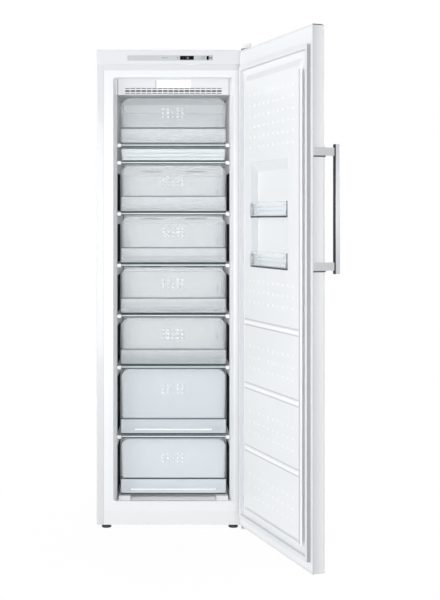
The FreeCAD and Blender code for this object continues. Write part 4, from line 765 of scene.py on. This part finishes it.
# ---------------------------------------------------------------- door bins
BIN_HEIGHT = 58 * MM
BIN_FRONT_HEIGHT = 40 * MM
BIN_CORNER = 6 * MM
BIN_FRONT = -4 * MM
BIN_BACK = 24.5 * MM
BIN_HALF = 151 * MM
BIN_TAPER = 8.5 * MM
BIN_MIDDLE = 282.5 * MM
BIN_FADE = mm(9, 12)
BIN_END_RISE = mm(16, 2)
BIN_END_DARK = 3 * MM
BIN_END_TONE = 0.9
BIN_STEP = 0.8 * MM
BIN_WALL = 2.3 * MM
BIN_ROUNDING = 0.4 * MM
BIN_FOOT_LINE, BIN_FOOT_CLEAR = mm(6, 7)
BIN_RIB_LEVEL, BIN_STEP_LEVEL = mm(10, 24)
BIN_RIM_LINE, BIN_RIM_CLEAR = mm(2.5, 3.5)
BIN_LINE_TONE = 0.5
BINS = (("upper_door_bin", "upper_bin"), ("lower_door_bin", "lower_bin"))


def bin_skin(low_z):
    """A door bin's closed skin: a heavy foot rail, a step in its front, a low front and full ends."""
    skin = Skin()

    def level(z, inward, tone, rim=False):
        x, y = plan_ring(BIN_FRONT + inward, BIN_BACK - inward, BIN_HALF - inward, BIN_HALF - inward,
                         BIN_HALF - BIN_TAPER - inward, BIN_CORNER - inward, BIN_CORNER - inward,
                         BIN_FRONT + BIN_FADE[0], BIN_FRONT + BIN_FADE[1])
        rise = smooth_step(np.abs(x), BIN_HALF - BIN_END_RISE[0], BIN_HALF - BIN_END_RISE[1])
        rise = np.where(FRONT_ZONE > 0, rise, 1.0)
        up = z - (BIN_HEIGHT - BIN_FRONT_HEIGHT) * (1 - rise) if rim else z
        far_end = BIN_END_TONE * (x > BIN_HALF - BIN_END_DARK)
        skin.add(x, y, low_z + up, np.maximum(tone, far_end))

    def rim(down, inward, tone):
        level(BIN_HEIGHT - down, inward, tone, True)

    line = BIN_LINE_TONE * FRONT_ZONE
    inner = BIN_STEP + BIN_WALL
    level(0.0, 2 * MM, LINE_TONE)
    level(0.8 * MM, 0.6 * MM, LINE_TONE)
    level(BIN_FOOT_LINE, 0.0, LINE_TONE)
    level(BIN_FOOT_CLEAR, 0.0, 0.0)
    level(BIN_RIB_LEVEL, 0.0, line)
    level(BIN_RIB_LEVEL + 1 * MM, 0.0, 0.0)
    level(BIN_STEP_LEVEL, 0.0, 0.0)
    level(BIN_STEP_LEVEL + 1 * MM, BIN_STEP, line)
    level(BIN_STEP_LEVEL + 2 * MM, BIN_STEP, 0.0)
    rim(BIN_RIM_CLEAR, BIN_STEP, 0.0)
    rim(BIN_RIM_LINE, BIN_STEP, FOLD_TONE)
    rim(BIN_ROUNDING, BIN_STEP + 0.1 * MM, FOLD_TONE)
    rim(0.0, BIN_STEP + 0.5 * MM, FOLD_TONE)
    rim(0.0, inner - BIN_ROUNDING, FOLD_TONE)
    rim(BIN_ROUNDING, inner, FOLD_TONE)
    rim(BIN_RIM_CLEAR, inner, 0.0)
    level(5 * MM, 3 * MM, 0.0)
    level(3 * MM, 5 * MM, 0.0)
    return skin


def on_bin(across, out, up):
    """Points given across from the bins' middle, out from the cabinet's front, and up."""
    return on_door(BIN_MIDDLE + across, out, up)


CLIP_STATIONS = 32
CLIP_WIRE_POINTS = 8
CLIP_SUNK = 0.6
CLIP_SQUARENESS = 4
CLIP_INSETS = mm(17, 33)
CLIP_HALF_WIDTHS = mm(8, 4)
CLIP_HALF_HEIGHT = 19 * MM
CLIP_LEVEL = 30 * MM
CLIP_WIRE = 1.6 * MM


def loop_clip(name, body, centre, half_width, half_height, radius):
    """A looped clip on a bin's front: a round wire along a rounded upright oval, both ways round closed.
    The oval's reach at an angle is one over the fourth root of its cosine and sine to the fourth, added."""
    turn = np.linspace(0, 2 * np.pi, CLIP_STATIONS, endpoint=False)
    swing = np.linspace(0, 2 * np.pi, CLIP_WIRE_POINTS, endpoint=False)[:, None]
    powers = np.abs(np.cos(turn)) ** CLIP_SQUARENESS + np.abs(np.sin(turn)) ** CLIP_SQUARENESS
    bulge = 1 / powers ** (1 / CLIP_SQUARENESS)
    across = half_width * bulge * np.cos(turn) + radius * np.cos(swing) * np.cos(turn)
    up = half_height * bulge * np.sin(turn) + radius * np.cos(swing) * np.sin(turn)
    out = BIN_FRONT - radius * CLIP_SUNK - radius * np.sin(swing) + np.zeros_like(across)
    points = on_bin(centre[0] + across, out, centre[1] + up)
    piece(name, points, grid_faces(*across.shape, last_joins_first=True), body, clip_grey)


def make_bins():
    """The two bins in the door's niche, each with a large and a small clip on its front."""
    for name, body in BINS:
        low_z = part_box(name)[0].z
        bin_skin(low_z).make(name, body, place=on_bin)
        for number, (inset, half_width) in enumerate(zip(CLIP_INSETS, CLIP_HALF_WIDTHS), 1):
            loop_clip(f"{name}_clip_{number}", body, (-BIN_HALF + inset, low_z + CLIP_LEVEL), half_width,
                      CLIP_HALF_HEIGHT, CLIP_WIRE)


# ---------------------------------------------------------------- door seal and handle
SEAL_DEPTH = 13.6 * MM
SEAL_WIDTH = 15 * MM
SEAL_WAVE = 1.1 * MM
SEAL_FOLD_SHADE_TONE = 0.5
SEAL_FOLDS = 4
SEAL_STATIONS = 13
SEAL_ACROSS = mm(20, 581)
SEAL_UP = mm(55, 1777)
SEAL_SIDE_THICKNESS = 0.4 * MM
SEAL_SIDE_OUT = mm(1.2, 12.8)
SEAL_SIDE_UP = mm(57, 1776)


def make_gasket():
    """The door's seal: a bellows profile carried round a rectangle with mitred corners. Row by row the
    profile runs from its foot on the door out to its face and back; its sides wave as a squared sine.
    Painted shade darkens it where its sides fold in."""
    along = np.linspace(0, 1, SEAL_STATIONS)
    wave = SEAL_WAVE * np.sin(along * SEAL_FOLDS * np.pi) ** 2
    towards = np.concatenate([along, along[::-1]]) * SEAL_DEPTH
    inset = np.concatenate([wave, SEAL_WIDTH - wave[::-1]])
    left, right = SEAL_ACROSS[0] + inset, SEAL_ACROSS[1] - inset
    foot, head = SEAL_UP[0] + inset, SEAL_UP[1] - inset
    points = door_inside(np.stack([left, right, right, left], 1), towards[:, None],
                         np.stack([foot, foot, head, head], 1))
    depth_of_fold = np.concatenate([wave, wave])[:, None] / SEAL_WAVE
    tone = np.repeat(SEAL_FOLD_SHADE_TONE * depth_of_fold, 4, 1)
    piece("door_gasket_bellows", points, grid_faces(*points.shape[:2], last_joins_first=True), "door",
          seal_white, ("door_gasket",), {"edge": tone})


def make_seal_side_shade():
    """Painted shade on the seal's outer side, along the door's free edge: a thin grey plate."""
    side = SEAL_ACROSS[1]
    plate = ((side, side + SEAL_SIDE_THICKNESS), SEAL_SIDE_OUT, SEAL_SIDE_UP)
    blocks("seal_side_shade", [plate], on_door, "door", seal_grey)


HANDLE_ACROSS = mm(584, 602)
HANDLE_OUT = mm(94, 115)
HANDLE_ROUNDING = 6.9 * MM
HANDLE_END = np.array([0.0, 0.45, 1.5]) * MM
HANDLE_DRAWN_IN = np.array([1.5, 0.45, 0.0]) / 9
HANDLE_CORNER_STEPS = 7
HANDLE_NEAR_SHADE, HANDLE_FAR_SHADE = mm(4.5, 3)
HANDLE_FAR_SHADE_TONE = 0.35


def make_handle():
    """The handle's bar: a rounded rectangle carried upright and drawn in at its ends, with a painted dark
    reflection along the edge that faces the door and painted grey shade along its far edge."""
    low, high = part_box("handle_bar")
    (inner, outer), (near, far) = HANDLE_ACROSS, HANDLE_OUT
    corners = [(inner, near), (outer, near), (outer, far), (inner, far)]
    ring = profile_ring(corners, HANDLE_ROUNDING, HANDLE_CORNER_STEPS)
    middle = np.array([(inner + outer) / 2, (near + far) / 2])
    levels = np.concatenate([low.z + HANDLE_END, high.z - HANDLE_END[::-1]])
    scale = 1 - np.concatenate([HANDLE_DRAWN_IN, HANDLE_DRAWN_IN[::-1]])[:, None, None]
    rings = middle + (ring - middle) * scale
    points = on_door(rings[..., 0], rings[..., 1], levels[:, None])
    far_tone = np.where(ring[:, 1] > far - HANDLE_FAR_SHADE, HANDLE_FAR_SHADE_TONE, 0.0)
    tone = np.where(ring[:, 1] < near + HANDLE_NEAR_SHADE, 1.0, far_tone)
    piece("handle_bar_profile", points, closed_grid(*points.shape[:2]), "door", satin_aluminium,
          ("handle_bar",), {"edge": np.broadcast_to(tone, points.shape[:2])})


# ---------------------------------------------------------------- the door's free edge
BAND_STATIONS = mm(14.3, 20, 50)
BAND_SHADE_TONES = (0.6, 0.45, 0.0)
BAND_THICKNESS = 0.25 * MM
BAND_UP = np.array([20, 1841]) * MM
BRACKET_HEIGHT = 27 * MM
TOP_LINE = (mm(15, 50), mm(0.1, 0.6), mm(1838.6, 1841.6))
SHADE_ALONG, SHADE_PROUD, SHADE_BELOW = mm(17, 62), mm(0.1, 1.5), mm(5, 0.2)


def make_edge_shade_band():
    """A thin band of painted shade on the door's free edge: grey along the seal's side and clearing to white
    across it, as the light falls across the edge.
    """
    near, middle, far = BAND_STATIONS
    across = np.array([near, middle, far, far, middle, near])
    out = np.repeat([BAND_THICKNESS, 0.0], 3)
    points = edge_face(across, out, BAND_UP[:, None])
    tone = np.interp(across, BAND_STATIONS, BAND_SHADE_TONES)
    piece("door_edge_shade_band", points, closed_grid(*points.shape[:2]), "door", shaded_edge_band, (),
          {"edge": np.broadcast_to(tone, points.shape[:2])})


def make_edge_lines():
    """The dark lines on the free edge: the joint under the top cap and the shade under each bracket."""
    low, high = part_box("handle_brackets")
    lines = [TOP_LINE]
    for bottom in (low.z, high.z - BRACKET_HEIGHT):
        lines.append((SHADE_ALONG, SHADE_PROUD, (bottom - SHADE_BELOW[0], bottom - SHADE_BELOW[1])))
    blocks("door_edge_lines", lines, edge_face, "door", mark_and_shade_grey)


# ---------------------------------------------------------------- the door's inner panel
BUMP_PITCH = 39.2 * MM
BUMP_FIRST = 121 * MM
BUMP_COLUMNS = 10
BUMP_RADIUS = 6 * MM
BUMP_HEIGHT = 1.2 * MM
BUMP_GROUPS = ((1461, 39, 6), (887, 39, 3), (643, 40.5, 3), (403, 38.5, 3), (165, 39, 3))


def make_door_bumps():
    """The raised dots on the inner panel. A group is given as its lowest level, its pitch and its rows."""
    levels = [(start + pitch * row) * MM for start, pitch, rows in BUMP_GROUPS for row in range(rows)]
    bumps = [(BUMP_FIRST + column * BUMP_PITCH, level) for level in levels for column in range(BUMP_COLUMNS)]
    domes("door_panel_bumps", bumps, BUMP_RADIUS, BUMP_HEIGHT,
          lambda across, out, up: on_door(across, PLUG_FACE - out, up), "door", bump_white)


RIB_LEVELS = mm(810, 571.5, 336.5)
RIB_FACE = PLUG_FACE - 2.5 * MM
RIB_EDGE = 11 * MM
RIB_HIGHLIGHT_HALF = 5.5 * MM
RIB_HIGHLIGHT_ACROSS = mm(78, 516)
FOOT_GROOVE_LEVEL = 106 * MM
GROOVE_HALF = 2 * MM
GROOVE_ACROSS = mm(72, 519)
SIDE_GROOVE_ACROSS = mm(519, 529)
SIDE_HIGHLIGHT_ACROSS = mm(530, 543)
PANEL_UP = mm(100, 1700)


def plate_on(face):
    """The near and far side of a thin plate on a face of the inner panel, given out from the cabinet."""
    return face - 0.3 * MM, face - 0.05 * MM


def band_at(level, half):
    """The low and high edge of a level band."""
    return level - half, level + half


def make_groove_shades():
    """Painted shade of the inner panel's grooves, as thin grey plates: one upright beside the seal, one
    along each edge of a rib.
    """
    grooves = [(SIDE_GROOVE_ACROSS, plate_on(PLUG_FACE), PANEL_UP)]
    rib_edges = [level + side * RIB_EDGE for level in RIB_LEVELS for side in (-1, 1)]
    for level in (*rib_edges, FOOT_GROOVE_LEVEL):
        grooves.append((GROOVE_ACROSS, plate_on(PLUG_FACE), band_at(level, GROOVE_HALF)))
    blocks("door_panel_groove_shades", grooves, on_door, "door", seam_and_shade_grey)


def make_panel_highlights():
    """Painted highlights on the inner panel, as thin extra-light plates: on the slope beside the seal and
    along the middle of each rib.
    """
    lights = [(SIDE_HIGHLIGHT_ACROSS, plate_on(PLUG_FACE), PANEL_UP)]
    for level in RIB_LEVELS:
        lights.append((RIB_HIGHLIGHT_ACROSS, plate_on(RIB_FACE), band_at(level, RIB_HIGHLIGHT_HALF)))
    blocks("door_panel_highlights", lights, on_door, "door", painted_light_white)


NICHE_SIDE = 130 * MM
NICHE_SIDE_RUN = 12 * MM
NICHE_BACK = 25 * MM
NICHE_UP = mm(1018, 1408)
NICHE_TOP_RUN = 37 * MM
NICHE_PLATE = mm(0.1, 0.5)
NICHE_MARGIN = 0.3 * MM


def make_niche_shade():
    """Painted shade on the niche's sloping side, as a thin grey plate: its top edge follows the niche's
    sloping top.
    """
    depth = NICHE_BACK - PLUG_FACE
    near, far = PLUG_FACE + NICHE_MARGIN, NICHE_BACK - NICHE_MARGIN
    out = np.array([near, far, far, near])[::-1]
    lift = np.repeat(NICHE_PLATE, 2)[::-1]
    across = NICHE_SIDE + NICHE_SIDE_RUN * (out - PLUG_FACE) / depth + lift
    top = NICHE_UP[1] - NICHE_TOP_RUN * (out - PLUG_FACE) / depth - 0.4 * MM
    bottom = np.full(4, NICHE_UP[0] + NICHE_MARGIN)
    points = on_door(across, out, np.array([bottom, top]))
    piece("niche_side_shade", points, closed_grid(2, 4), "door", niche_shade_grey)


# ---------------------------------------------------------------- the compartment's sides, front and floor
SHADE_STRIP_ALONG = mm(50, 200)
SHADE_STRIP_THICKNESS = 0.8 * MM
SHADE_STRIP_FOOT, SHADE_STRIP_HEAD = mm(6, 30)
SHADE_STRIP_GAP = 0.1 * MM
CAVITY_HALF = 219.5 * MM
CAVITY_TAPER = 8.5 / 431
FLARE_DEPTH = 34 * MM


def make_gap_shades():
    """Painted shade in the gap beside each lower drawer: a thin black strip on the liner's side wall. It
    follows the wall, which draws in by its taper for each step towards the rear."""
    points = []
    faces = []
    front, back = SHADE_STRIP_ALONG
    for name in DRAWERS[1:]:
        low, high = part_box(name)
        levels = np.array([low.z + SHADE_STRIP_FOOT, high.z - SHADE_STRIP_HEAD])[:, None]
        for side in (-1, 1):
            y = np.array([front, back, back, front])[::side]
            depth = np.array([SHADE_STRIP_THICKNESS, SHADE_STRIP_THICKNESS, 0, 0])[::side]
            x = side * (CAVITY_HALF - CAVITY_TAPER * (y - FLARE_DEPTH) - depth - SHADE_STRIP_GAP)
            faces += closed_grid(2, 4, 8 * len(points))
            points.append(np.stack(np.broadcast_arrays(x, y, levels), -1))
    piece("drawer_gap_shades", np.array(points), faces, "cabinet", painted_shade_black)


SEAM_MIDDLE = 269.6 * MM
SEAM_HALF = 0.9 * MM
SEAM_UP = mm(20, 1790)
SEAM_PROUD = 0.15 * MM


def make_flange_seams():
    """The fine upright seams where the casing's folded edge meets the liner's flange."""
    seams = [(band_at(side * SEAM_MIDDLE, SEAM_HALF), (0, SEAM_PROUD), SEAM_UP) for side in (-1, 1)]
    blocks("flange_seams", seams, upright, "cabinet", seam_and_shade_grey)


SILL_HALF = 164 * MM
SILL_SECTION = np.array([(14, 105.2), (40, 105.2), (40, 112)]) * MM


def make_sill():
    """A low wedge on the compartment's floor between the rails, rising away from the front. Its extra-light
    white paints light on the floor there, which lies in the lowest drawer's shade.
    """
    x = np.array([-SILL_HALF, SILL_HALF])[:, None]
    points = np.stack(np.broadcast_arrays(x, SILL_SECTION[:, 0], SILL_SECTION[:, 1]), -1)
    piece("floor_sill", points, closed_grid(2, 3), "cabinet", painted_light_white)


DUCT_FACE = -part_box("rear_duct_panel")[0].y
DUCT_SLOT_MIDDLES = mm(-95, 95)
DUCT_SLOT_HALF_LENGTH = 44 * MM
DUCT_SLOT_HALF_HEIGHT = 2 * MM
DUCT_SLOT_DROP = 21 * MM


def make_duct_slot_shades():
    """Painted shade of the slots in the rear panel under each shelf: dark strips on its face."""
    slots = []
    for shelf in SHELVES:
        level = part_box(shelf)[0].z - DUCT_SLOT_DROP
        for middle in DUCT_SLOT_MIDDLES:
            slots.append((band_at(middle, DUCT_SLOT_HALF_LENGTH), (DUCT_FACE, DUCT_FACE + 0.3 * MM),
                          band_at(level, DUCT_SLOT_HALF_HEIGHT)))
    blocks("duct_slot_shades", slots, upright, "cabinet", mark_and_shade_grey)


# ---------------------------------------------------------------- fan cover
COVER_FACE = -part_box("fan_cover")[0].y
MARK_PROUD = 0.25 * MM
GRILLE_HALF = 190 * MM
GRILLE_WALL = 2.6 * MM
SHADE_HALF = 2.6 * MM
SHADE_DEPTH = 1 * MM
SLOT_LEVELS = mm(1704.5, 1694.5, 1685.5)
SLOT_SHADES = (grille_shade_grey, black_window_and_shade, grille_shade_grey)
SLOT_COUNT = 18
SLOT_PITCH = 21 * MM
SLOT_LENGTH = 17.5 * MM
MOUTH_HALF = 2.7 * MM
COVER_GAPS = (mm(-217.5, -215.5), mm(215.5, 217.5))
COVER_GAP_UP = mm(1680, 1742)
LAMP_SIDE = 7 * MM


def make_grille_shades():
    """A dark sheet behind each row of air slots: painted shade, black behind the middle row and grey behind
    the others.
    """
    back = COVER_FACE - GRILLE_WALL
    for number, (level, coating) in enumerate(zip(SLOT_LEVELS, SLOT_SHADES), 1):
        sheet = ((-GRILLE_HALF, GRILLE_HALF), (back - SHADE_DEPTH, back), band_at(level, SHADE_HALF))
        blocks(f"grille_shade_{number}", [sheet], upright, "cabinet", coating)


def make_grille_mouth_shades():
    """Painted shade in the mouths of the middle row of slots: black marks on the cover's face, which make
    this row look taller and darker than the other rows.
    """
    starts = [(index - SLOT_COUNT / 2) * SLOT_PITCH + (SLOT_PITCH - SLOT_LENGTH) / 2
              for index in range(SLOT_COUNT)]
    mouths = [((start, start + SLOT_LENGTH), (COVER_FACE, COVER_FACE + MARK_PROUD),
               band_at(SLOT_LEVELS[1], MOUTH_HALF)) for start in starts]
    blocks("grille_mouth_shades", mouths, upright, "cabinet", painted_shade_black)


def make_cover_gap_shades():
    """Painted shade of the gap down each end of the fan cover: a dark strip on the cover's face."""
    gaps = [(across, (COVER_FACE, COVER_FACE + MARK_PROUD), COVER_GAP_UP) for across in COVER_GAPS]
    blocks("cover_gap_shades", gaps, upright, "cabinet", mark_and_shade_grey)


def make_lamp_side():
    """The lamp's duller left end."""
    low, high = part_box("lamp_lens")
    side = ((low.x, low.x + LAMP_SIDE), (-low.y, COVER_FACE - 0.5 * MM), (low.z, high.z))
    blocks("lamp_side", [side], upright, "cabinet", strip_silver)


# ---------------------------------------------------------------- display, strip marks and buttons
STRIP_FACE = -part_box("control_strip")[0].y
WINDOW_FACE = -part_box("display_windows")[0].y
PRINT = (STRIP_FACE, STRIP_FACE + 0.15 * MM)
PLATE_THICKNESS = 0.1 * MM
SMALL_PLATE_ACROSS, SMALL_PLATE_UP = mm(137, 149.5), mm(1812, 1826.5)
SMALL_MARKS_ACROSS, SMALL_MARKS_UP = (mm(138.5, 142), mm(144, 147.5)), mm(1816, 1822.5)
STRIP_MARKS = ((mm(-42, -36), PRINT, mm(1818, 1820.4)), (mm(-33, -29), PRINT, mm(1818.6, 1820.4)),
               (mm(-26, -23), PRINT, mm(1818, 1820.4)), (mm(15, 18), PRINT, mm(1817, 1822)))
SEGMENTS = {"top": ((0, 1), (1.88, 2.0)), "middle": ((0, 1), (0.94, 1.06)), "bottom": ((0, 1), (0, 0.12)),
            "left_high": ((0, 0.14), (1.1, 1.84)), "left_low": ((0, 0.14), (0.16, 0.9)),
            "right_high": ((0.86, 1), (1.1, 1.84)), "right_low": ((0.86, 1), (0.16, 0.9))}
DIGITS = {"-": ("middle",), "1": ("right_high", "right_low"),
          "8": ("top", "middle", "bottom", "left_high", "left_low", "right_high", "right_low")}
READING = "-18"
DIGIT_WIDTH = 4.5 * MM
DIGIT_PITCH = 9 * MM
DIGIT_LEFT = 36 * MM
DIGIT_FOOT = 1814.8 * MM


def make_small_window():
    """The second window: a silver plate with two dark marks on it."""
    front = WINDOW_FACE + PLATE_THICKNESS
    plate = (SMALL_PLATE_ACROSS, (WINDOW_FACE, front), SMALL_PLATE_UP)
    blocks("small_window_plate", [plate], upright, "cabinet", strip_silver)
    marks = [(across, (front, front + PLATE_THICKNESS), SMALL_MARKS_UP) for across in SMALL_MARKS_ACROSS]
    blocks("small_window_marks", marks, upright, "cabinet", black_window_and_shade)


def make_digits():
    """The display's reading in seven-segment figures, each one unit wide and two units tall."""
    bars = []
    for index, digit in enumerate(READING):
        left = DIGIT_LEFT + index * DIGIT_PITCH
        for part in DIGITS[digit]:
            across, up = (np.array(limits) * DIGIT_WIDTH for limits in SEGMENTS[part])
            bars.append((left + across, PRINT, DIGIT_FOOT + up))
    blocks("display_digits", bars, upright, "cabinet", digit_grey)


def make_strip_marks():
    """Plain marks where the strip has its symbols."""
    blocks("strip_marks", STRIP_MARKS, upright, "cabinet", mark_and_shade_grey)


BUTTON_LEVEL = 1819.25 * MM
BUTTONS = (("button_left", 94 * MM, digit_grey), ("button_right", 115 * MM, mark_and_shade_grey))
OUTLINE_HALF_WIDTH, OUTLINE_HALF_HEIGHT, OUTLINE_LINE = mm(7, 5, 0.9)
BAR_HALF_WIDTH, BAR_HALF_HEIGHT = mm(1, 2.4)


def frame_boxes(left, right, low, high, line, depth):
    """Four thin bars round a rectangle."""
    return [((left, right), depth, (low, low + line)), ((left, right), depth, (high - line, high)),
            ((left, left + line), depth, (low + line, high - line)),
            ((right - line, right), depth, (low + line, high - line))]


def make_button_prints():
    """The outline and the bar that are printed on each button and move with it."""
    for name, centre, coating in BUTTONS:
        face = -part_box(name)[0].y
        depth = band_at(face, 0.1 * MM)
        bars = frame_boxes(*band_at(centre, OUTLINE_HALF_WIDTH), *band_at(BUTTON_LEVEL, OUTLINE_HALF_HEIGHT),
                           OUTLINE_LINE, depth)
        bars.append((band_at(centre, BAR_HALF_WIDTH), depth, band_at(BUTTON_LEVEL, BAR_HALF_HEIGHT)))
        blocks(name + "_print", bars, upright, name, coating)


# ---------------------------------------------------------------- stage: floor, backdrop, light, camera
FLOOR_GREY = (0.85, 0.85, 0.85)
FLOOR_ROUGHNESS = 0.9
FLOOR_FADE = (0.35, 0.9)
PHOTO_LONG_SIDE = 600
FOCAL_PIXELS = 1032.4
AXIS_LEFT_OF_CENTRE = 46.6
AXIS_ABOVE_CENTRE = 78.5
SENSOR_WIDTH = 36.0
CAMERA_PLACE = (0.0, -3.994, 1.187)


def seen_white(tree):
    """1 for rays from the camera, off mirrors and through glass, and 0 for all others."""
    rays = node(tree, "ShaderNodeLightPath")
    seen = arithmetic(tree, "MAXIMUM", rays.outputs["Is Camera Ray"], rays.outputs["Is Glossy Ray"])
    return arithmetic(tree, "MAXIMUM", seen, rays.outputs["Is Transmission Ray"])


def make_world(colour, strength):
    """A soft light from all round that looks plain white."""
    world = bpy.data.worlds.new("studio")
    bpy.context.scene.world = world
    world.use_nodes = True
    tree = world.node_tree
    ambient = tree.nodes["Background"]
    ambient.inputs["Color"].default_value = (*colour, 1)
    ambient.inputs["Strength"].default_value = strength
    backdrop = node(tree, "ShaderNodeBackground")
    backdrop.inputs["Color"].default_value = (1, 1, 1, 1)
    chosen = node(tree, "ShaderNodeMixShader")
    tree.links.new(seen_white(tree), chosen.inputs["Fac"])
    tree.links.new(ambient.outputs[0], chosen.inputs[1])
    tree.links.new(backdrop.outputs[0], chosen.inputs[2])
    tree.links.new(chosen.outputs[0], tree.nodes["World Output"].inputs["Surface"])


def floor_white(near_share):
    """White that glows by the near share under the cabinet and fully further out, where it fades."""
    white, shader = material("floor_white")
    tree = white.node_tree
    shader.inputs["Base Color"].default_value = (*FLOOR_GREY, 1)
    shader.inputs["Roughness"].default_value = FLOOR_ROUGHNESS
    place = node(tree, "ShaderNodeTexCoord")
    distance = node(tree, "ShaderNodeVectorMath", operation="LENGTH")
    tree.links.new(place.outputs["Object"], distance.inputs[0])
    fade = span(tree, distance.outputs["Value"], near_share, 1.0, *FLOOR_FADE)
    glow = node(tree, "ShaderNodeEmission")
    share = node(tree, "ShaderNodeMixShader")
    tree.links.new(arithmetic(tree, "MULTIPLY", fade, seen_white(tree)), share.inputs["Fac"])
    tree.links.new(shader.outputs[0], share.inputs[1])
    tree.links.new(glow.outputs[0], share.inputs[2])
    tree.links.new(share.outputs[0], tree.nodes["Material Output"].inputs["Surface"])
    return white


def make_floor(reach, near_share):
    """A wide white floor that fades into the backdrop with the distance from the cabinet."""
    corners = [(-reach, -reach, 0), (reach, -reach, 0), (reach, reach, 0), (-reach, reach, 0)]
    mesh = bpy.data.meshes.new("floor")
    mesh.from_pydata(corners, [], [(0, 1, 2, 3)])
    mesh.materials.append(floor_white(near_share))
    floor = bpy.data.objects.new("floor", mesh)
    bpy.context.scene.collection.objects.link(floor)


def soft_light(name, place, target, size, watts):
    """A square lamp that faces its target."""
    data = bpy.data.lights.new(name, "AREA")
    data.size = size
    data.energy = watts
    lamp = bpy.data.objects.new(name, data)
    lamp.location = place
    lamp.rotation_euler = (Vector(target) - Vector(place)).to_track_quat("-Z", "Y").to_euler()
    bpy.context.scene.collection.objects.link(lamp)


def make_camera():
    """A level camera straight in front, its picture shifted to the side and down."""
    data = bpy.data.cameras.new("camera")
    data.sensor_width = SENSOR_WIDTH
    data.lens = SENSOR_WIDTH * FOCAL_PIXELS / PHOTO_LONG_SIDE
    data.shift_x = AXIS_LEFT_OF_CENTRE / PHOTO_LONG_SIDE
    data.shift_y = -AXIS_ABOVE_CENTRE / PHOTO_LONG_SIDE
    camera = bpy.data.objects.new("camera", data)
    camera.location = CAMERA_PLACE
    camera.rotation_euler = (math.radians(90), 0, 0)
    bpy.context.scene.collection.objects.link(camera)
    bpy.context.scene.camera = camera


# ---------------------------------------------------------------- the whole freezer on its stage
coat_solids()
make_drawers()
make_trims()
for drawer in DRAWERS:
    make_dots(drawer)
make_door_bumps()
make_bins()
make_gasket()
make_handle()
make_edge_shade_band()
make_seal_side_shade()
make_groove_shades()
make_panel_highlights()
make_edge_lines()
make_gap_shades()
make_niche_shade()
make_grip_highlights()
make_flange_seams()
make_sill()
make_grille_shades()
make_grille_mouth_shades()
make_cover_gap_shades()
make_duct_slot_shades()
make_lamp_side()
make_small_window()
make_digits()
make_strip_marks()
make_button_prints()

make_world(colour=(0.94, 0.965, 1.0), strength=0.30)
make_floor(reach=12.0, near_share=0.97)
soft_light("key_light", (-4.0, -1.3, 2.0), target=(0.3, -0.2, 1.0), size=2.2, watts=102)
soft_light("fill_light", (2.6, -2.6, 1.4), target=(0.0, 0.2, 0.9), size=2.0, watts=10)
soft_light("front_light", (0.0, -5.0, 0.85), target=(0.1, 0.0, 0.8), size=2.4, watts=124)
soft_light("rear_light", (-0.8, 4.6, 2.3), target=(0.0, 0.5, 1.0), size=2.4, watts=70)
soft_light("side_light", (4.2, 1.6, 2.0), target=(0.3, 0.1, 1.0), size=2.4, watts=55)
make_camera()
bpy.context.scene.view_settings.view_transform = "Standard"
